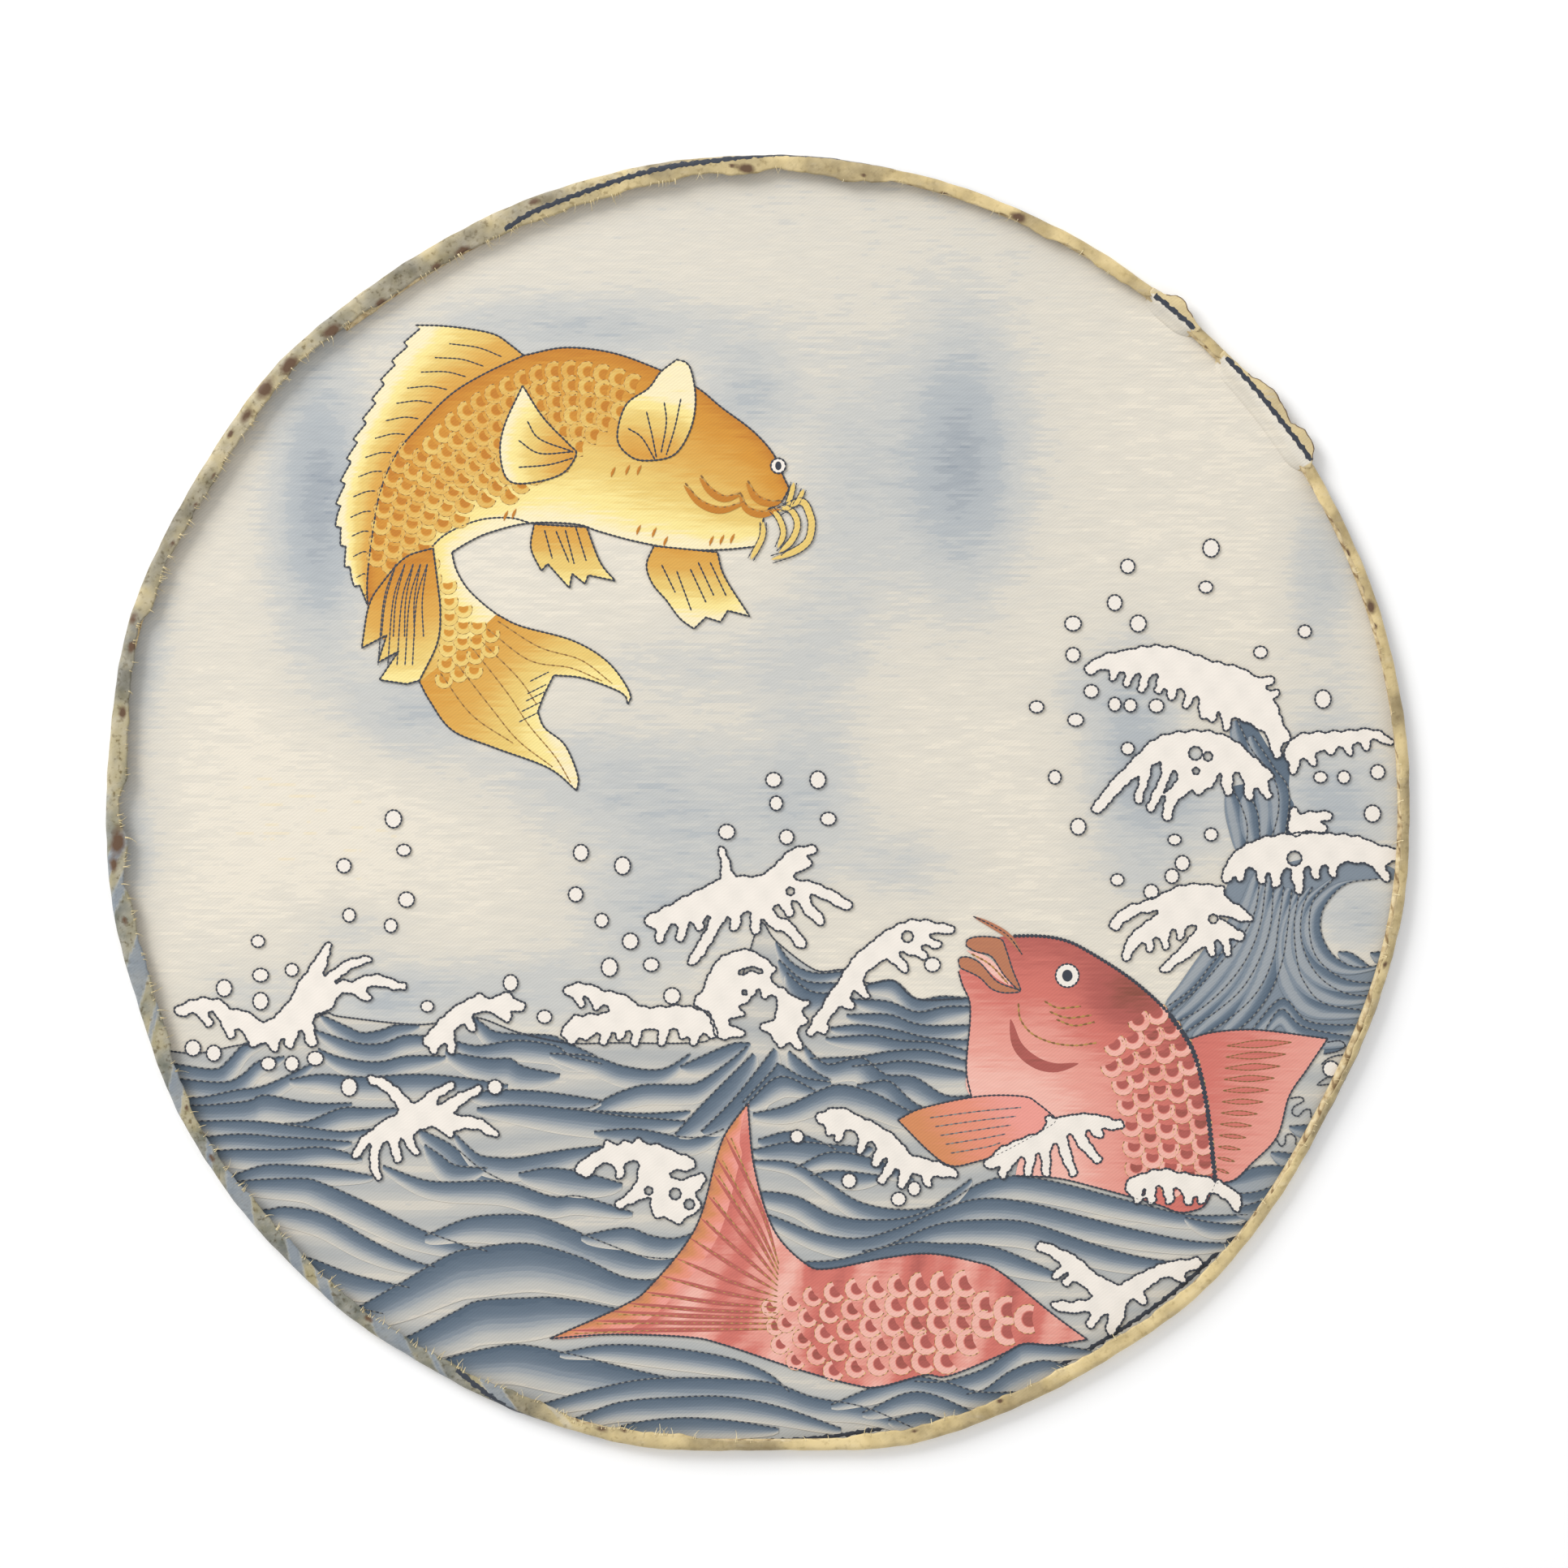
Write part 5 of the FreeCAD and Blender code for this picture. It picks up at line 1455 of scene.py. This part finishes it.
def flap_foot(degrees):
    """Radius of a flap's foot: it draws in to the top of the hoop at both ends."""
    inside = np.zeros(np.shape(degrees))
    for edge in FLAPS.values():
        reach = np.minimum(degrees - edge[0][0], edge[-1][0] - degrees) / 2.2
        inside = np.maximum(inside, np.clip(reach, 0, 1))
    return FLAP_CREST - (FLAP_CREST - FLAP_FOOT) * np.sqrt(inside * (2 - inside))


def flap_height(degrees, r):
    """Height in mm of the top of a flap."""
    foot = flap_foot(degrees)
    t = np.clip((r - foot) / np.maximum(FLAP_CREST - foot, 0.2), 0, 1)
    droop = 0.05 * np.maximum(r - FLAP_CREST, 0) ** 2
    return FACE_TOP - 0.02 + (RIM_H + 0.14 - FACE_TOP) * t * t * (3 - 2 * t) - droop


def polar(degrees, r, z):
    """Points in metres from a direction, a radius and a height in mm."""
    a = np.radians(degrees)
    return np.stack(np.broadcast_arrays(r * np.cos(a), r * np.sin(a), z), axis=-1) * MM


def grid_faces(rows, columns, first=0, flip=False):
    """Quads over a grid of points kept row by row."""
    faces = []
    for i in range(rows - 1):
        for j in range(columns - 1):
            a = first + i * columns + j
            quad = (a, a + columns, a + columns + 1, a + 1)
            faces.append(quad[::-1] if flip else quad)
    return faces


def rim_faces(rows, columns, other):
    """Quads that close the four sides between a grid and its copy, other places further on."""
    top = [j for j in range(columns)]
    right = [i * columns + columns - 1 for i in range(1, rows)]
    bottom = [(rows - 1) * columns + j for j in range(columns - 2, -1, -1)]
    left = [i * columns for i in range(rows - 2, 0, -1)]
    loop = top + right + bottom + left
    return [(a, b, other + b, other + a) for a, b in zip(loop, loop[1:] + loop[:1])]


def make_flap(name, edge):
    """A flap of plain cloth that runs out over the hoop, as a closed sheet."""
    degrees = np.arange(edge[0][0], edge[-1][0], 0.15)
    out = by_angle(((0, edge[0][1]),) + edge + ((360, edge[-1][1]),), degrees)
    out = out + 0.06 * ripple(degrees, 7, ((29.0, 1.0), (53.0, 0.8)))
    share = np.array([0, 0.12, 0.24, 0.36, 0.48, 0.60, 0.70, 0.79, 0.87, 0.93, 0.97, 1.0])[:, None]
    r = flap_foot(degrees) + (out - flap_foot(degrees)) * share
    a = np.radians(degrees)
    outside = (r > by_angle(BORDER, degrees)) | (flap_foot(degrees) > FLAP_CREST - 1.4)
    shade = np.where(outside, GROUND, sky_shade(r * np.cos(a), r * np.sin(a)))
    brown = np.clip(1 - (out - r) / 0.5, 0, 1) * (out > 124.9)
    z = flap_height(degrees, r)
    verts = np.concatenate([polar(degrees, r, z).reshape(-1, 3), polar(degrees, r, z - 0.3).reshape(-1, 3)])
    rows, columns = r.shape
    faces = grid_faces(rows, columns) + grid_faces(rows, columns, r.size, flip=True)
    faces += rim_faces(rows, columns, r.size)
    twice = lambda values: np.tile(np.broadcast_to(values, r.shape).ravel(), 2)
    flap = add_object(name, verts, faces, SKY, shade=twice(shade), stain=twice(brown),
                      age=twice(0.55 * outside), tone=twice(1.0))


class Strips:
    """Narrow ridged strips on the turned edge, gathered into one piece, three points across each."""

    def __init__(self, name, material, slot="thread"):
        self.name, self.material, self.slot = name, material, slot
        self.verts, self.faces, self.shades = [], [], []

    def add(self, low, crest, high, shade):
        count = len(crest)
        first = sum(len(v) for v in self.verts)
        self.verts.append(np.stack([low, crest, high], axis=1).reshape(-1, 3))
        for i in range(count - 1):
            a, b = first + 3 * i, first + 3 * i + 3
            self.faces += [(a, a + 1, b + 1, b), (a + 1, a + 2, b + 2, b + 1)]
        self.shades.append(np.repeat(np.broadcast_to(shade, count), 3))

    def build(self):
        piece = add_object(self.name, np.concatenate(self.verts), self.faces, self.material,
                           shade=np.concatenate(self.shades))


def make_border():
    """The dark thread woven round the roundel, where it shows: on the face, on the hem and on the flaps."""
    strips = Strips("border_thread", INK)
    degrees = np.arange(0, 360.2, 0.2)
    r = by_angle(BORDER, degrees) + 0.10 * ripple(degrees, 5, ((31.0, 1.0), (57.0, 0.8)))
    half = 0.46 + 0.14 * ripple(degrees, 9, ((41.0, 1.0), (83.0, 0.9)))
    start = fold_start(degrees)
    on_flap = np.zeros(len(degrees), bool)
    for edge in FLAPS.values():
        on_flap |= (degrees > edge[0][0] + 0.4) & (degrees < edge[-1][0] - 0.4)
    on_face = (r < start + 0.2) & ~on_flap
    on_hem = (r > start + 0.9) & (r < start + hem_reach(degrees) - 0.6)
    shade = 0.04 * (1 + ripple(degrees, 3, ((67.0, 1.0),)))
    for shown, side in ((on_face, 1), (on_hem, -1), (on_flap, 0)):
        for run in np.split(np.arange(len(degrees)), np.flatnonzero(np.diff(shown.astype(int))) + 1):
            if not shown[run[0]] or len(run) < 4:
                continue
            d, at, w = degrees[run], r[run], half[run]
            if side:
                rows = [cloth_form(d, at + k * w, h, side) for k, h in ((-1, 0.01), (0, 0.10), (1, 0.01))]
            else:
                rows = [polar(d, at + k * w, flap_height(d, at + k * w) + h)
                        for k, h in ((-1, 0.03), (0, 0.13), (1, 0.03))]
            if side < 0:
                rows.reverse()
            strips.add(*rows, shade[run])
    strips.build()


def make_frays():
    """Loose warp ends along the cut edge of the hem."""
    strips = Strips("frayed_threads", FRAY, "silk")
    for _ in range(360):
        at = rng.uniform(56, 390) if rng.random() < 0.5 else rng.uniform(95, 262)
        root = cloth_form(at, fold_start(at) + hem_reach(at) - 0.4, 0.04, -1) / MM
        inward = -np.array([math.cos(math.radians(at)), math.sin(math.radians(at)), 0])
        aside = np.array([-inward[1], inward[0], 0]) * rng.uniform(-0.7, 0.7)
        length = rng.uniform(0.6, 1.5) + (0.7 if rng.random() < 0.15 else 0)
        t = np.linspace(0, 1, 5)[:, None]
        line = root + (inward * t + aside * t * t) * length
        line[:, 2] -= 0.5 * (t[:, 0] * length) ** 2 * rng.uniform(0.2, 1.0)
        line[:, 2] = np.maximum(line[:, 2], FACE_TOP + 0.35)
        across = np.array([inward[1], -inward[0], 0]) * rng.uniform(0.06, 0.11)
        raised = np.array([0, 0, 0.09])
        taper = 1 - 0.6 * t
        aside = across * taper
        strips.add((line - aside) * MM, (line + raised) * MM, (line + aside) * MM, rng.random())
    strips.build()


def surface(name, stops, scale, rough, metallic=0.0, turns=0):
    """Worn plain material: mottled colour and grain, with seams square to the hoop where it is wound."""
    n = Nodes(name)
    x, y, z = n.place()
    grain = n.noise(*[n.times(v, scale) for v in (x, y, z)], detail=6.0)
    shade = grain
    if turns:
        angle = n.math("ARCTAN2", y, x)
        wave = n.math("SINE", n.plus(n.times(angle, turns), n.times(z, 2.0)))
        seam = n.times(n.minus(wave, 0.8, clamp=True), 1.2)
        shade = n.minus(grain, seam)
    n.put(n.shader.inputs["Base Color"], n.ramp(shade, stops))
    n.shader.inputs["Roughness"].default_value = rough
    n.shader.inputs["Metallic"].default_value = metallic
    n.bump(shade, 0.4, 0.08)
    return n.material


FRAY = surface("frayed_silk", ((0.3, 176, 158, 116), (0.5, 216, 198, 152), (0.7, 236, 222, 182)), 0.9, 0.6)
INNER_PARTS = {
    "hoop_wire": surface("rusty_iron", (
        (0.30, 48, 36, 30), (0.46, 86, 58, 40), (0.58, 122, 84, 54), (0.72, 92, 88, 86),
    ), 1.6, 0.7, metallic=0.35),
    "paper_winding": surface("hoop_paper", (
        (0.25, 134, 110, 76), (0.45, 190, 168, 126), (0.60, 208, 190, 150), (0.75, 224, 210, 176),
    ), 0.8, 0.85, turns=131),
    "lap_bindings": surface("binding_thread", (
        (0.30, 150, 132, 98), (0.55, 196, 180, 142), (0.75, 216, 204, 172),
    ), 2.2, 0.75),
}
for name, edge in FLAPS.items():
    make_flap(name, edge)
make_border()
make_frays()
for name, material in INNER_PARTS.items():
    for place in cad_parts[name].material_slots:
        place.material = material

# ---- Stage ------------------------------------------------------------------------------------------

# Area lights: name, place and size in metres, power in watts
LIGHTS = (("key", (-0.95, 0.90, 0.80), 0.75, 19.0), ("fill", (0.9, -0.3, 1.1), 1.0, 1.5))


def make_stage():
    """White table with soft light from the upper left."""
    floor_mesh = bpy.data.meshes.new("floor")
    half = 1.2
    square = [(-half, -half, 0), (half, -half, 0), (half, half, 0), (-half, half, 0)]
    floor_mesh.from_pydata(square, [], [(0, 1, 2, 3)])
    floor = in_scene("floor", floor_mesh)
    paint = Nodes("white_table")
    paint.shader.inputs["Base Color"].default_value = (0.94, 0.94, 0.94, 1)
    paint.shader.inputs["Roughness"].default_value = 0.9
    floor_mesh.materials.append(paint.material)
    world = bpy.data.worlds.new("studio")
    world.use_nodes = True
    world.node_tree.nodes["Background"].inputs[0].default_value = (1, 1, 1, 1)
    world.node_tree.nodes["Background"].inputs[1].default_value = 0.72
    bpy.context.scene.world = world
    for name, place, size, power in LIGHTS:
        slub_and_rib_shade = bpy.data.lights.new(name, "AREA")
        slub_and_rib_shade.size = size
        slub_and_rib_shade.energy = power
        lamp = in_scene(name, slub_and_rib_shade)
        lamp.location = place
        lamp.rotation_euler = (-Vector(place)).to_track_quat("-Z", "Y").to_euler()


VIEW_WIDTH = 0.3014       # width of the table that the camera sees
VIEW_CENTRE = (0.005, 0.0037)


def make_camera():
    """Camera straight above, far enough away that the rim shows little perspective."""
    data = bpy.data.cameras.new("camera")
    data.lens = 85
    data.sensor_width = 36
    camera = in_scene("camera", data)
    camera.location = (*VIEW_CENTRE, VIEW_WIDTH * data.lens / data.sensor_width)
    bpy.context.scene.camera = camera
    bpy.context.scene.view_settings.view_transform = "Standard"


make_stage()
make_camera()
